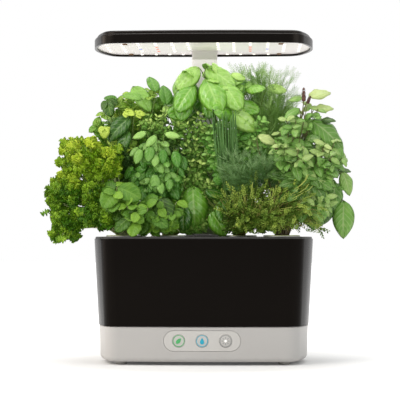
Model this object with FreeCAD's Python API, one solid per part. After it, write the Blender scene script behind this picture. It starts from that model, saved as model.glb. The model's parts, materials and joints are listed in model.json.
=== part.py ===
"""Countertop hydroponic garden: a grey base, a black water bowl with a planting deck,
six pods with herbs, a telescopic arm and a lamp hood.

Millimetres. +X is the right-hand end seen from the front, +Y goes to the back, +Z is up.
The origin lies on the table, under the middle of the garden.
"""

import FreeCAD
import Part

import math
import os

from FreeCAD import Vector

# Plan outline shared by the base, bowl, deck and hood: four shallow arcs and four corner arcs
FRONT_RADIUS = 1250.0
SIDE_RADIUS = 145.0
CORNER_RADIUS = 20.0

# Base housing
FOOT_HEIGHT = 4.0
BASE_TOP_HALF_WIDTH = 127.5
BASE_TOP_HALF_DEPTH = 71.0
BASE_DRAFT = 1.5
BASE_HEIGHT = 42.0
BASE_WALL = 2.4
BASE_PLATFORM = 2.5
BASE_BOTTOM_ROUND = 6.0
BASE_TOP_CHAMFER = 0.8
BASE_LEDGE_HEIGHT = 6.5
PLATE_THICKNESS = 2.5
PLATE_CLEARANCE = 0.3
FOOT_RADIUS = 7.0
FOOT_POCKET = 1.0
FOOT_X = 97.5
FOOT_Y = 46.0
BOSS_X = 100.0
BOSS_Y = 22.0
BOSS_RADIUS = 3.6
SCREW_RADIUS = 1.5
SCREW_HEAD_RADIUS = 3.0
SCREW_HEAD_HEIGHT = 1.2
SCREW_LENGTH = 10.0
SCREW_CLEARANCE = 0.05
RAIL_X = 85.0
RAIL_WIDTH = 3.0
RAIL_HEIGHT = 2.0
RAIL_FRONT = -20.0
RAIL_BACK = 50.0
RAIL_CLEARANCE = 0.4

# Control panel and its three buttons
PANEL_LENGTH = 90.6
PANEL_HEIGHT = 24.0
PANEL_LIFT = 25.4
PANEL_GAP = 0.4
PANEL_BACK = 3.4
PANEL_FLANGE = 1.4
PANEL_FLANGE_EDGE = 1.6
BUTTON_RADIUS = 7.4
BUTTON_SPACING = 27.7
BUTTON_GAP = 0.3
BUTTON_SEAT = 0.3
BUTTON_TRAVEL = 0.8
BUTTON_RIM = 1.0
BUTTON_RIM_THICKNESS = 1.0
SWITCH_SIZE = 6.0
SWITCH_HEIGHT = 3.4
CONTROL_BOARD_THICKNESS = 1.6

# Electronics in the base
BOARD_LENGTH = 84.0
BOARD_WIDTH = 50.0
BOARD_THICKNESS = 1.6
BOARD_LIFT = 7.5
BOARD_Y = -12.0
BOARD_POST_RADIUS = 3.0
JACK_X = 55.0
JACK_LIFT = 15.5
JACK_BORE = 2.85
JACK_DEPTH = 9.5
JACK_COLLAR = 4.2
JACK_BODY = 11.0

# Arm column on the base and the two telescopic tubes
ARM_WIDTH = 31.5
ARM_DEPTH = 20.0
ARM_FRONT = 33.0
ARM_ROUND = 3.0
UPPER_WALL = 2.0
MIDDLE_WALL = 2.4
COLUMN_WALL = 2.8
SLIDE_GAP = 0.4
COLUMN_BACK = 70.0
COLUMN_HEIGHT = 122.0
COLUMN_FLOOR = 10.0
DUCT_WIDTH = 29.0
DUCT_WALL = 2.8
COVER_WIDTH = 34.0
COVER_THICKNESS = 2.5
COVER_GAP = 0.2
LEAD_RADIUS = 3.5
LEAD_HOLE = 5.0
LEAD_BOTTOM = 30.0
DETENT_RADIUS = 2.5
DETENT_PROUD = 0.25
MIDDLE_START = 24.0
MIDDLE_LENGTH = 180.0
UPPER_LENGTH = 184.0

# Bowl
BOWL_TOP_HALF_WIDTH = 133.5
BOWL_TOP_HALF_DEPTH = 75.0
BOWL_BOTTOM_HALF_WIDTH = 128.3
BOWL_BOTTOM_HALF_DEPTH = 71.8
BOWL_HEIGHT = 103.5
BOWL_WALL = 2.5
BOWL_FLOOR = 4.0
NOTCH_CLEARANCE = 1.2
REST_GAP = 0.3

# Planting deck, pods and filling port
DECK_THICKNESS = 2.5
DECK_INSET = 1.2
DECK_EDGE_ROUND = 1.2
SKIRT_GAP = 0.4
SKIRT_WALL = 2.0
SKIRT_DEPTH = 5.5
OUTER_POD_X = 95.0
OUTER_POD_Y = 31.0
INNER_POD_X = 43.0
INNER_POD_Y = 4.0
POD_HOLE = 20.3
POD_GAP = 0.3
POD_BOTTOM_RADIUS = 14.0
POD_DEPTH = 58.0
POD_WALL = 1.4
POD_FLANGE = 2.0
POD_FLANGE_THICKNESS = 1.2
POD_SLOTS = 6
POD_SLOT_WIDTH = 5.0
SPONGE_GAP = 0.3
SPONGE_DROP = 3.0
LABEL_THICKNESS = 0.6
LABEL_HOLE = 10.0
PORT_LENGTH = 35.0
PORT_WIDTH = 20.0
PORT_Y = -49.0
PORT_ROUND = 4.0
LID_OVERLAP = 1.8
LID_THICKNESS = 2.0
HINGE_RADIUS = 1.6
HINGE_SETBACK = 2.2
HINGE_LIFT = 2.1
HINGE_PIN_RADIUS = 0.8
HINGE_PIN_GAP = 0.08
KNUCKLE_LENGTH = 16.0
EAR_THICKNESS = 2.6
EAR_GAP = 0.3

# Pump in the bowl
PUMP_X = -64.0
PUMP_Y = 47.0
PUMP_LENGTH = 36.0
PUMP_WIDTH = 30.0
PUMP_FEET = 3.0
PUMP_COVER = 2.0
PUMP_BLOCK = 8.0
PUMP_CHAMBER = 10.5
PUMP_CHAMBER_HEIGHT = 5.6
CAN_RADIUS = 13.0
CAN_HEIGHT = 21.0
ROTOR_RADIUS = 6.0
ROTOR_LENGTH = 14.0
ROTOR_GAP = 0.5
IMPELLER_RADIUS = 9.4
IMPELLER_BLADES = 6
BLADE_THICKNESS = 1.2
SHAFT_RADIUS = 1.0
SHAFT_GAP = 0.06
RISER_X = -48.5
RISER_RADIUS = 4.0
RISER_BORE = 2.6
SPOUT_REACH = 22.0
FILTER_THICKNESS = 3.6
FILTER_HEIGHT = 17.0
PROBE_RADIUS = 1.2
PROBE_LENGTH = 70.0
PROBE_X = 56.0
PROBE_SPACING = 9.0
PROBE_Y = 57.0
CONTACT_WIDTH = 3.0
CONTACT_HEIGHT = 9.0
CONTACT_THICKNESS = 0.4
CONTACT_LIFT = 14.0
CONTACT_SPACING = 7.0

# Lamp hood
HOOD_RIM_HEIGHT = 381.0
HOOD_HALF_WIDTH = 133.2
HOOD_HALF_DEPTH = 75.0
HOOD_SIDE_HEIGHT = 11.6
HOOD_EDGE_ROUND = 2.4
HOOD_CROWN = 4.0
HOOD_CROWN_INSET = 2.6
HOOD_WALL = 3.0
HOOD_ROOF = 2.2
LED_BOARD_RECESS = 2.5
LED_BOARD_THICKNESS = 1.6
LED_BOARD_GAP = 0.3
SPREADER_THICKNESS = 1.5
HOOD_SCREW_X = 93.5
HOOD_SCREW_FRONT = -42.0
HOOD_SCREW_BACK = 60.0
HOOD_POST_RADIUS = 3.6
COUPLER_WALL = 3.2
ARM_CUTOUT_GAP = 0.6
LED_SIZE = 3.5
LED_HEIGHT = 0.9
LED_COLUMNS = (18.0, 37.0, 57.0, 78.0, 98.0, 117.0)
LED_ROWS = (-50.0, -31.0, -9.0, 11.0, 32.0)
LED_BACK_ROW = 65.0
LED_BACK_COLUMNS = (28.0, 45.0, 62.0, 80.0)
RED_COLUMN = 57.0
BLUE_COLUMN = 78.0
BLUE_ROW = 11.0
LED_END_ROW_LIMIT = 40.0
VENT_COUNT = 9
VENT_SPACING = 8.0
VENT_WIDTH = 3.0
VENT_LENGTH = 34.0
VENT_BANK_X = 62.0
VENT_Y = 8.0

# Herbs
STEM_RADIUS = 1.5
STEM_RISE = 10.0
LEAF_THICKNESS = 1.4
PETIOLE_RADIUS = 1.0
PLANT_GAP = 0.4
LAMP_CLEARANCE = 10.0
ARM_CLEARANCE = 2.4
PLANT_HALF_WIDTH = 187.0
PLANT_HALF_DEPTH = 86.0
LID_SWING_HEIGHT = 30.0
LID_SWING_WIDTH = 43.0
LID_SWING_BACK = -26.0

# Heights and places that follow from the sizes above
BASE_BOTTOM = FOOT_HEIGHT
BASE_TOP = BASE_BOTTOM + BASE_HEIGHT
BASE_BOTTOM_HALF_WIDTH = BASE_TOP_HALF_WIDTH - BASE_DRAFT
BASE_BOTTOM_HALF_DEPTH = BASE_TOP_HALF_DEPTH - BASE_DRAFT
PLATFORM_UNDERSIDE = BASE_TOP - BASE_PLATFORM
PLATE_TOP = BASE_BOTTOM + PLATE_THICKNESS
LEDGE_INSET = BASE_WALL + BASE_BOTTOM_ROUND
PANEL_Z = BASE_BOTTOM + PANEL_LIFT
PANEL_INNER = -(BASE_BOTTOM_HALF_DEPTH - PANEL_BACK)
PANEL_FLANGE_BACK = PANEL_INNER + PANEL_FLANGE
BUTTON_BACK = PANEL_FLANGE_BACK + BUTTON_SEAT + BUTTON_RIM_THICKNESS
SWITCH_FRONT = BUTTON_BACK + BUTTON_TRAVEL + BUTTON_SEAT
CONTROL_BOARD_FRONT = SWITCH_FRONT + SWITCH_HEIGHT
BOARD_BOTTOM = PLATE_TOP + BOARD_LIFT
BOARD_TOP = BOARD_BOTTOM + BOARD_THICKNESS
JACK_Z = BASE_BOTTOM + JACK_LIFT
ARM_BACK = ARM_FRONT + ARM_DEPTH
ARM_MIDDLE_Y = (ARM_FRONT + ARM_BACK) / 2
MIDDLE_EXTRA = SLIDE_GAP + MIDDLE_WALL
MIDDLE_HALF_WIDTH = ARM_WIDTH / 2 + MIDDLE_EXTRA
MIDDLE_FRONT = ARM_FRONT - MIDDLE_EXTRA
MIDDLE_BACK = ARM_BACK + MIDDLE_EXTRA
POCKET_HALF_WIDTH = MIDDLE_HALF_WIDTH + SLIDE_GAP
POCKET_FRONT = MIDDLE_FRONT - SLIDE_GAP
POCKET_BACK = MIDDLE_BACK + SLIDE_GAP
COLUMN_HALF_WIDTH = POCKET_HALF_WIDTH + COLUMN_WALL
COLUMN_FRONT = POCKET_FRONT - COLUMN_WALL
COLUMN_TOP = BASE_TOP + COLUMN_HEIGHT
COLUMN_FLOOR_TOP = BASE_TOP + COLUMN_FLOOR
MIDDLE_BOTTOM = BASE_TOP + MIDDLE_START
MIDDLE_TOP = MIDDLE_BOTTOM + MIDDLE_LENGTH
BOWL_BOTTOM = BASE_TOP + REST_GAP
BOWL_TOP = BOWL_BOTTOM + BOWL_HEIGHT
BOWL_FLOOR_TOP = BOWL_BOTTOM + BOWL_FLOOR
NOTCH_HALF_WIDTH = COLUMN_HALF_WIDTH + NOTCH_CLEARANCE
NOTCH_FRONT = COLUMN_FRONT - NOTCH_CLEARANCE
DECK_TOP = BOWL_TOP + DECK_THICKNESS
SPONGE_TOP = DECK_TOP - SPONGE_DROP
POD_RADIUS = POD_HOLE - POD_GAP
POD_RIM_TOP = DECK_TOP + POD_FLANGE_THICKNESS
HINGE_Y = PORT_Y + PORT_WIDTH / 2 + LID_OVERLAP + HINGE_SETBACK
HINGE_Z = DECK_TOP + HINGE_LIFT
LID_BOTTOM = DECK_TOP + REST_GAP
LID_TOP = LID_BOTTOM + LID_THICKNESS
LID_FRONT = PORT_Y - PORT_WIDTH / 2 - LID_OVERLAP
LID_BACK = PORT_Y + PORT_WIDTH / 2 + LID_OVERLAP
PUMP_COVER_BOTTOM = BOWL_FLOOR_TOP + PUMP_FEET
PUMP_BLOCK_BOTTOM = PUMP_COVER_BOTTOM + PUMP_COVER
PUMP_BLOCK_TOP = PUMP_BLOCK_BOTTOM + PUMP_BLOCK
CHAMBER_TOP = PUMP_BLOCK_BOTTOM + PUMP_CHAMBER_HEIGHT
WELL_TOP = CHAMBER_TOP + ROTOR_LENGTH + 2 * ROTOR_GAP
LED_BOARD_BOTTOM = HOOD_RIM_HEIGHT + LED_BOARD_RECESS
LED_BOARD_TOP = LED_BOARD_BOTTOM + LED_BOARD_THICKNESS
SPREADER_TOP = LED_BOARD_TOP + SPREADER_THICKNESS
HOOD_SHOULDER = HOOD_RIM_HEIGHT + HOOD_SIDE_HEIGHT
HOOD_TOP = HOOD_SHOULDER + HOOD_CROWN
ROOF_UNDERSIDE = HOOD_TOP - HOOD_ROOF
UPPER_TOP = ROOF_UNDERSIDE - COUPLER_WALL
UPPER_BOTTOM = UPPER_TOP - UPPER_LENGTH
PLANT_CEILING = HOOD_RIM_HEIGHT - LAMP_CLEARANCE
PODS = (
    (-OUTER_POD_X, -OUTER_POD_Y),
    (-OUTER_POD_X, OUTER_POD_Y),
    (-INNER_POD_X, INNER_POD_Y),
    (INNER_POD_X, INNER_POD_Y),
    (OUTER_POD_X, OUTER_POD_Y),
    (OUTER_POD_X, -OUTER_POD_Y),
)


def save(name, *shapes):
    """Writes one sub-part, which may be a group of separate solids."""
    solids = []
    for shape in shapes:
        solids.extend(shape.Solids)
    for solid in solids:
        if not solid.isValid() or solid.Volume <= 0:
            print("bad solid in", name, solid.Volume)
    shape = solids[0] if len(solids) == 1 else Part.makeCompound(solids)
    shape.exportStep("parts/" + name + ".step")
    print(name, len(solids), round(shape.Volume / 1000, 2))


def arc(start, middle, end):
    return Part.Arc(start, middle, end).toShape()


def outline(half_width, half_depth, z, inset=0.0):
    """Closed wire of the plan outline at height z, offset inwards by inset."""
    front = FRONT_RADIUS - CORNER_RADIUS
    side = SIDE_RADIUS - CORNER_RADIUS
    front_y = half_depth - FRONT_RADIUS
    side_x = half_width - SIDE_RADIUS
    apart = math.hypot(side_x, front_y)
    along = (front**2 - side**2 + apart**2) / (2 * apart)
    across = math.sqrt(front**2 - along**2)
    toward = Vector(side_x, -front_y, 0) * (1 / apart)
    corner = Vector(0, front_y, 0) + toward * along + Vector(-toward.y, toward.x, 0) * across
    if corner.x < 0 or corner.y < 0:
        corner = Vector(0, front_y, 0) + toward * along - Vector(-toward.y, toward.x, 0) * across
    to_front = (corner - Vector(0, front_y, 0)) * (1 / front)
    to_side = (corner - Vector(side_x, 0, 0)) * (1 / side)
    reach = CORNER_RADIUS - inset
    a = corner + to_front * reach
    b = corner + to_side * reach
    m = corner + (to_front + to_side).normalize() * reach
    w = half_width - inset
    d = half_depth - inset

    def at(point, sx, sy):
        return Vector(point.x * sx, point.y * sy, z)

    edges = [
        arc(at(a, -1, -1), Vector(0, -d, z), at(a, 1, -1)),
        arc(at(a, 1, -1), at(m, 1, -1), at(b, 1, -1)),
        arc(at(b, 1, -1), Vector(w, 0, z), at(b, 1, 1)),
        arc(at(b, 1, 1), at(m, 1, 1), at(a, 1, 1)),
        arc(at(a, 1, 1), Vector(0, d, z), at(a, -1, 1)),
        arc(at(a, -1, 1), at(m, -1, 1), at(b, -1, 1)),
        arc(at(b, -1, 1), Vector(-w, 0, z), at(b, -1, -1)),
        arc(at(b, -1, -1), at(m, -1, -1), at(a, -1, -1)),
    ]
    return Part.Wire(edges)


def prism(half_width, half_depth, z0, z1, inset=0.0):
    """Straight body with the plan outline."""
    return Part.Face(outline(half_width, half_depth, z0, inset)).extrude(Vector(0, 0, z1 - z0))


def box(x0, x1, y0, y1, z0, z1):
    return Part.makeBox(x1 - x0, y1 - y0, z1 - z0, Vector(x0, y0, z0))


def cylinder(radius, x, y, z0, z1):
    return Part.makeCylinder(radius, z1 - z0, Vector(x, y, z0))


def rounded_box(x0, x1, y0, y1, z0, z1, radius):
    """Box with its four upright edges rounded."""
    body = box(x0, x1, y0, y1, z0, z1)
    upright = [e for e in body.Edges if abs(e.Vertexes[0].X - e.Vertexes[1].X) < 0.001
               and abs(e.Vertexes[0].Y - e.Vertexes[1].Y) < 0.001]
    return body.makeFillet(radius, upright)


def edges_at(shape, z):
    """Edges that lie flat at height z."""
    return [e for e in shape.Edges if e.BoundBox.ZMin > z - 0.01 and e.BoundBox.ZMax < z + 0.01]


def oval(length, height, y0, y1, z):
    """Upright plate with full-round ends, its flat sides facing front and back."""
    r = height / 2
    x = length / 2 - r
    wire = Part.Wire([
        Part.makeLine(Vector(-x, y0, z - r), Vector(x, y0, z - r)),
        arc(Vector(x, y0, z - r), Vector(x + r, y0, z), Vector(x, y0, z + r)),
        Part.makeLine(Vector(x, y0, z + r), Vector(-x, y0, z + r)),
        arc(Vector(-x, y0, z + r), Vector(-x - r, y0, z), Vector(-x, y0, z - r)),
    ])
    return Part.Face(wire).extrude(Vector(0, y1 - y0, 0))


def disc_y(radius, x, z, y0, y1):
    return Part.makeCylinder(radius, y1 - y0, Vector(x, y0, z), Vector(0, 1, 0))


def base_solid():
    """Full body of the base, before it is hollowed."""
    shoulder = BASE_TOP - BASE_TOP_CHAMFER
    body = Part.makeLoft([
        outline(BASE_BOTTOM_HALF_WIDTH, BASE_BOTTOM_HALF_DEPTH, BASE_BOTTOM),
        outline(BASE_TOP_HALF_WIDTH, BASE_TOP_HALF_DEPTH, shoulder),
    ], True, True)
    body = body.makeFillet(BASE_BOTTOM_ROUND, edges_at(body, BASE_BOTTOM))
    bevel = Part.makeLoft([
        outline(BASE_TOP_HALF_WIDTH, BASE_TOP_HALF_DEPTH, shoulder),
        outline(BASE_TOP_HALF_WIDTH, BASE_TOP_HALF_DEPTH, BASE_TOP, BASE_TOP_CHAMFER),
    ], True, True)
    return body.fuse(bevel)


def screw_places():
    return [(x, y) for x in (-BOSS_X, BOSS_X) for y in (-BOSS_Y, BOSS_Y)]


def foot_places():
    return [(x, y) for x in (-FOOT_X, FOOT_X) for y in (-FOOT_Y, FOOT_Y)]


def column_screw_places():
    x = ARM_WIDTH / 2 - 1.0
    front = (POCKET_FRONT + ARM_FRONT) / 2 + SCREW_HEAD_RADIUS
    back = POCKET_BACK + DUCT_WALL + SCREW_HEAD_RADIUS
    return [(sx * x, y) for sx in (-1, 1) for y in (front, back)]


def make_base_shell(body):
    share = BASE_LEDGE_HEIGHT / BASE_HEIGHT
    ledge_z = BASE_BOTTOM + BASE_LEDGE_HEIGHT
    cavity = Part.makeLoft([
        outline(BASE_BOTTOM_HALF_WIDTH + BASE_DRAFT * share,
                BASE_BOTTOM_HALF_DEPTH + BASE_DRAFT * share, ledge_z, BASE_WALL),
        outline(BASE_TOP_HALF_WIDTH, BASE_TOP_HALF_DEPTH, PLATFORM_UNDERSIDE, BASE_WALL),
    ], True, True)
    mouth = prism(BASE_BOTTOM_HALF_WIDTH, BASE_BOTTOM_HALF_DEPTH, BASE_BOTTOM - 1, ledge_z + 0.5, LEDGE_INSET)
    shell = body.cut(cavity.fuse(mouth))
    bosses = []
    for x, y in screw_places():
        bosses.append(cylinder(BOSS_RADIUS, x, y, PLATE_TOP, PLATFORM_UNDERSIDE + 0.5))
    for sx in (-1, 1):
        x = sx * RAIL_X
        bosses.append(box(x - RAIL_WIDTH / 2, x + RAIL_WIDTH / 2, RAIL_FRONT, RAIL_BACK,
                          BASE_TOP - 0.5, BASE_TOP + RAIL_HEIGHT))
    shell = shell.fuse(bosses)
    cuts = [oval(PANEL_LENGTH + 2 * PANEL_GAP, PANEL_HEIGHT + 2 * PANEL_GAP,
                 -BASE_TOP_HALF_DEPTH - 5, -BASE_BOTTOM_HALF_DEPTH + 5, PANEL_Z)]
    for x, y in screw_places():
        cuts.append(cylinder(SCREW_RADIUS + SCREW_CLEARANCE, x, y, PLATE_TOP - 1, PLATE_TOP + SCREW_LENGTH))
    for x, y in column_screw_places():
        cuts.append(cylinder(SCREW_RADIUS + SCREW_CLEARANCE, x, y, PLATFORM_UNDERSIDE - 1, BASE_TOP + 1))
    cuts.append(cylinder(LEAD_HOLE, 0, ARM_MIDDLE_Y, PLATFORM_UNDERSIDE - 1, BASE_TOP + 1))
    cuts.append(disc_y(JACK_COLLAR + 0.3, JACK_X, JACK_Z, BASE_BOTTOM_HALF_DEPTH - 8, BASE_TOP_HALF_DEPTH + 5))
    save("base_shell", shell.cut(cuts).removeSplitter())


def make_bottom_plate():
    plate = prism(BASE_BOTTOM_HALF_WIDTH, BASE_BOTTOM_HALF_DEPTH, BASE_BOTTOM, PLATE_TOP,
                  LEDGE_INSET + PLATE_CLEARANCE)
    posts = []
    for sx in (-1, 1):
        for sy in (-1, 1):
            posts.append(cylinder(BOARD_POST_RADIUS, sx * (BOARD_LENGTH / 2 - 5),
                                  BOARD_Y + sy * (BOARD_WIDTH / 2 - 5), PLATE_TOP - 0.5, BOARD_BOTTOM))
    plate = plate.fuse(posts)
    cuts = []
    for x, y in screw_places():
        cuts.append(cylinder(SCREW_RADIUS + 0.1, x, y, BASE_BOTTOM - 1, PLATE_TOP + 1))
        cuts.append(cylinder(SCREW_HEAD_RADIUS + 0.2, x, y, BASE_BOTTOM - 1,
                             BASE_BOTTOM + SCREW_HEAD_HEIGHT + 0.1))
    for x, y in foot_places():
        cuts.append(cylinder(FOOT_RADIUS + 0.05, x, y, BASE_BOTTOM - 1, BASE_BOTTOM + FOOT_POCKET))
    save("bottom_plate", plate.cut(cuts))


def make_feet():
    feet = []
    for x, y in foot_places():
        foot = cylinder(FOOT_RADIUS, x, y, 0, FOOT_HEIGHT + FOOT_POCKET)
        feet.append(foot.makeChamfer(0.8, edges_at(foot, 0)))
    save("rubber_feet", *feet)


def screw(x, y, head_z):
    """Machine screw with its head below, its shank going up."""
    head = cylinder(SCREW_HEAD_RADIUS, x, y, head_z, head_z + SCREW_HEAD_HEIGHT)
    shank = cylinder(SCREW_RADIUS, x, y, head_z + SCREW_HEAD_HEIGHT, head_z + SCREW_LENGTH)
    cross = SCREW_HEAD_RADIUS * 0.6
    slot = box(x - cross, x + cross, y - 0.35, y + 0.35, head_z - 1, head_z + 0.5)
    slot = slot.fuse(box(x - 0.35, x + 0.35, y - cross, y + cross, head_z - 1, head_z + 0.5))
    return head.fuse(shank).cut(slot)


def make_base_screws():
    housing = [screw(x, y, BASE_BOTTOM + 0.1) for x, y in screw_places()]
    head_z = PLATFORM_UNDERSIDE - SCREW_HEAD_HEIGHT
    column = [screw(x, y, head_z) for x, y in column_screw_places()]
    save("base_screws", *housing, *column)


def button_x(index):
    return (index - 1) * BUTTON_SPACING


def make_control_panel(body):
    plug = body.common(oval(PANEL_LENGTH, PANEL_HEIGHT, -BASE_TOP_HALF_DEPTH - 5, PANEL_INNER, PANEL_Z))
    flange = oval(PANEL_LENGTH + 2 * PANEL_FLANGE_EDGE, PANEL_HEIGHT + 2 * PANEL_FLANGE_EDGE,
                  PANEL_INNER, PANEL_FLANGE_BACK, PANEL_Z)
    post_x = PANEL_LENGTH / 2 - 5
    posts = [box(sx * post_x - 2, sx * post_x + 2, PANEL_FLANGE_BACK - 0.5, CONTROL_BOARD_FRONT,
                 PANEL_Z - 3, PANEL_Z + 3) for sx in (-1, 1)]
    panel = plug.fuse([flange] + posts)
    holes = [disc_y(BUTTON_RADIUS + BUTTON_GAP, button_x(i), PANEL_Z, -BASE_TOP_HALF_DEPTH - 5,
                    PANEL_FLANGE_BACK + 1) for i in range(3)]
    save("control_panel", panel.cut(holes))
    for i, name in enumerate(("plant_food_button", "water_button", "light_button")):
        cap = body.common(disc_y(BUTTON_RADIUS, button_x(i), PANEL_Z, -BASE_TOP_HALF_DEPTH - 5, BUTTON_BACK))
        rim = disc_y(BUTTON_RADIUS + BUTTON_RIM, button_x(i), PANEL_Z, PANEL_FLANGE_BACK + BUTTON_SEAT, BUTTON_BACK)
        save(name, cap.fuse(rim))


def make_control_board():
    half = PANEL_LENGTH / 2 - 2
    board = box(-half, half, CONTROL_BOARD_FRONT, CONTROL_BOARD_FRONT + CONTROL_BOARD_THICKNESS,
                PANEL_Z - PANEL_HEIGHT / 2 + 2, PANEL_Z + PANEL_HEIGHT / 2 - 2)
    save("control_board", board)
    s = SWITCH_SIZE / 2
    switches = []
    for i in range(3):
        x = button_x(i)
        switches.append(box(x - s, x + s, SWITCH_FRONT, CONTROL_BOARD_FRONT, PANEL_Z - s, PANEL_Z + s))
    save("tactile_switches", *switches)


def make_main_board():
    half = BOARD_LENGTH / 2
    deep = BOARD_WIDTH / 2
    board = box(-half, half, BOARD_Y - deep, BOARD_Y + deep, BOARD_BOTTOM, BOARD_TOP)
    save("main_board", board)
    parts = [
        box(-32, -14, BOARD_Y - 12, BOARD_Y + 6, BOARD_TOP, BOARD_TOP + 12),
        box(-4, 8, BOARD_Y - 8, BOARD_Y + 4, BOARD_TOP, BOARD_TOP + 1.8),
        box(14, 30, BOARD_Y + 10, BOARD_Y + 18, BOARD_TOP, BOARD_TOP + 7),
    ]
    for x in (16, 26):
        parts.append(cylinder(4, x, BOARD_Y - 12, BOARD_TOP, BOARD_TOP + 11))
    save("board_components", *parts)


def make_power_inlet():
    """Round low-voltage socket in the back wall."""
    rear = BASE_TOP_HALF_DEPTH - BASE_WALL - BASE_DRAFT - 1.2
    half = JACK_BODY / 2
    face = BASE_BOTTOM_HALF_DEPTH + BASE_DRAFT * JACK_LIFT / BASE_HEIGHT
    face -= FRONT_RADIUS - math.sqrt(FRONT_RADIUS**2 - JACK_X**2)
    body = box(JACK_X - half, JACK_X + half, face - JACK_DEPTH - 4, rear - 0.4, JACK_Z - half, JACK_Z + half)
    body = body.fuse(disc_y(JACK_COLLAR, JACK_X, JACK_Z, rear - 1, face))
    body = body.cut(disc_y(JACK_BORE, JACK_X, JACK_Z, face - JACK_DEPTH, face + 1))
    saddle = box(JACK_X - half, JACK_X + half, face - JACK_DEPTH - 4, rear - 8, PLATE_TOP, JACK_Z - half + 0.5)
    save("power_inlet", body.fuse(saddle))


def make_column():
    body = rounded_box(-COLUMN_HALF_WIDTH, COLUMN_HALF_WIDTH, COLUMN_FRONT, COLUMN_BACK,
                       BASE_TOP, COLUMN_TOP, ARM_ROUND + 1)
    duct_front = POCKET_BACK + DUCT_WALL
    cover_front = COLUMN_BACK - COVER_THICKNESS
    cuts = [
        rounded_box(-POCKET_HALF_WIDTH, POCKET_HALF_WIDTH, POCKET_FRONT, POCKET_BACK,
                    COLUMN_FLOOR_TOP, COLUMN_TOP + 1, ARM_ROUND),
        box(-DUCT_WIDTH / 2, DUCT_WIDTH / 2, duct_front, cover_front + 1, COLUMN_FLOOR_TOP, COLUMN_TOP - 8),
        box(-COVER_WIDTH / 2, COVER_WIDTH / 2, cover_front, COLUMN_BACK + 1,
            COLUMN_FLOOR_TOP - 4, COLUMN_TOP - 4),
        cylinder(LEAD_HOLE, 0, ARM_MIDDLE_Y, BASE_TOP - 1, COLUMN_FLOOR_TOP + 1),
    ]
    for x, y in column_screw_places():
        cuts.append(cylinder(SCREW_RADIUS + SCREW_CLEARANCE, x, y, BASE_TOP - 1, BASE_TOP + SCREW_LENGTH - 1.5))
    save("arm_column", body.cut(cuts))
    cover = box(-COVER_WIDTH / 2 + COVER_GAP, COVER_WIDTH / 2 - COVER_GAP, cover_front, COLUMN_BACK,
                COLUMN_FLOOR_TOP - 4 + COVER_GAP, COLUMN_TOP - 4 - COVER_GAP)
    save("column_cover", cover)


def tube(half_width, front, back, wall, z0, z1):
    outer = rounded_box(-half_width, half_width, front, back, z0, z1, ARM_ROUND)
    inner = rounded_box(-half_width + wall, half_width - wall, front + wall, back - wall,
                        z0 - 1, z1 + 1, max(ARM_ROUND - wall, 0.4))
    return outer.cut(inner)


def detents(half_width, wall, z):
    """Two spring plungers, one through each side wall of a tube, at height z."""
    pins = []
    for sx in (-1, 1):
        inner = half_width - wall
        pins.append(Part.makeCylinder(DETENT_RADIUS, wall + DETENT_PROUD,
                                      Vector(sx * inner, ARM_MIDDLE_Y, z), Vector(sx, 0, 0)))
    return pins


def detent_holes(half_width, z):
    return Part.makeCylinder(DETENT_RADIUS + 0.05, 2 * half_width + 2,
                             Vector(-half_width - 1, ARM_MIDDLE_Y, z), Vector(1, 0, 0))


def make_arm():
    low = MIDDLE_BOTTOM + 12
    middle = tube(MIDDLE_HALF_WIDTH, MIDDLE_FRONT, MIDDLE_BACK, MIDDLE_WALL, MIDDLE_BOTTOM, MIDDLE_TOP)
    save("arm_middle_tube", middle.cut(detent_holes(MIDDLE_HALF_WIDTH, low)))
    save("middle_detents", *detents(MIDDLE_HALF_WIDTH, MIDDLE_WALL, low))
    low = UPPER_BOTTOM + 12
    upper = tube(ARM_WIDTH / 2, ARM_FRONT, ARM_BACK, UPPER_WALL, UPPER_BOTTOM, UPPER_TOP)
    save("arm_upper_tube", upper.cut(detent_holes(ARM_WIDTH / 2, low)))
    save("upper_detents", *detents(ARM_WIDTH / 2, UPPER_WALL, low))
    save("lamp_lead", cylinder(LEAD_RADIUS, 0, ARM_MIDDLE_Y, LEAD_BOTTOM, UPPER_TOP))


def loft_body(z0, z1, inset):
    """Tapered body inside the bowl's outer form, between two heights."""
    def size(z):
        share = (z - BOWL_BOTTOM) / BOWL_HEIGHT
        w = BOWL_BOTTOM_HALF_WIDTH + (BOWL_TOP_HALF_WIDTH - BOWL_BOTTOM_HALF_WIDTH) * share
        d = BOWL_BOTTOM_HALF_DEPTH + (BOWL_TOP_HALF_DEPTH - BOWL_BOTTOM_HALF_DEPTH) * share
        return w, d

    return Part.makeLoft([outline(*size(z0), z0, inset), outline(*size(z1), z1, inset)], True, True)


def notch(extra, z0, z1):
    """Block that fills the recess behind the bowl where the arm column stands."""
    return box(-NOTCH_HALF_WIDTH - extra, NOTCH_HALF_WIDTH + extra, NOTCH_FRONT - extra,
               BOWL_TOP_HALF_DEPTH + 5, z0, z1)


def make_bowl():
    outer = loft_body(BOWL_BOTTOM, BOWL_TOP, 0).cut(notch(0, BOWL_BOTTOM - 1, BOWL_TOP + 1))
    inner = loft_body(BOWL_FLOOR_TOP, BOWL_TOP, BOWL_WALL)
    inner = inner.cut(notch(BOWL_WALL, BOWL_BOTTOM - 1, BOWL_TOP + 1))
    bowl = outer.cut(inner)
    grooves = []
    for sx in (-1, 1):
        half = RAIL_WIDTH / 2 + RAIL_CLEARANCE
        grooves.append(box(sx * RAIL_X - half, sx * RAIL_X + half, RAIL_FRONT - RAIL_CLEARANCE,
                           BOWL_TOP_HALF_DEPTH + 5, BOWL_BOTTOM - 1, BOWL_BOTTOM + RAIL_HEIGHT + RAIL_CLEARANCE))
    save("bowl", bowl.cut(grooves))


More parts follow.
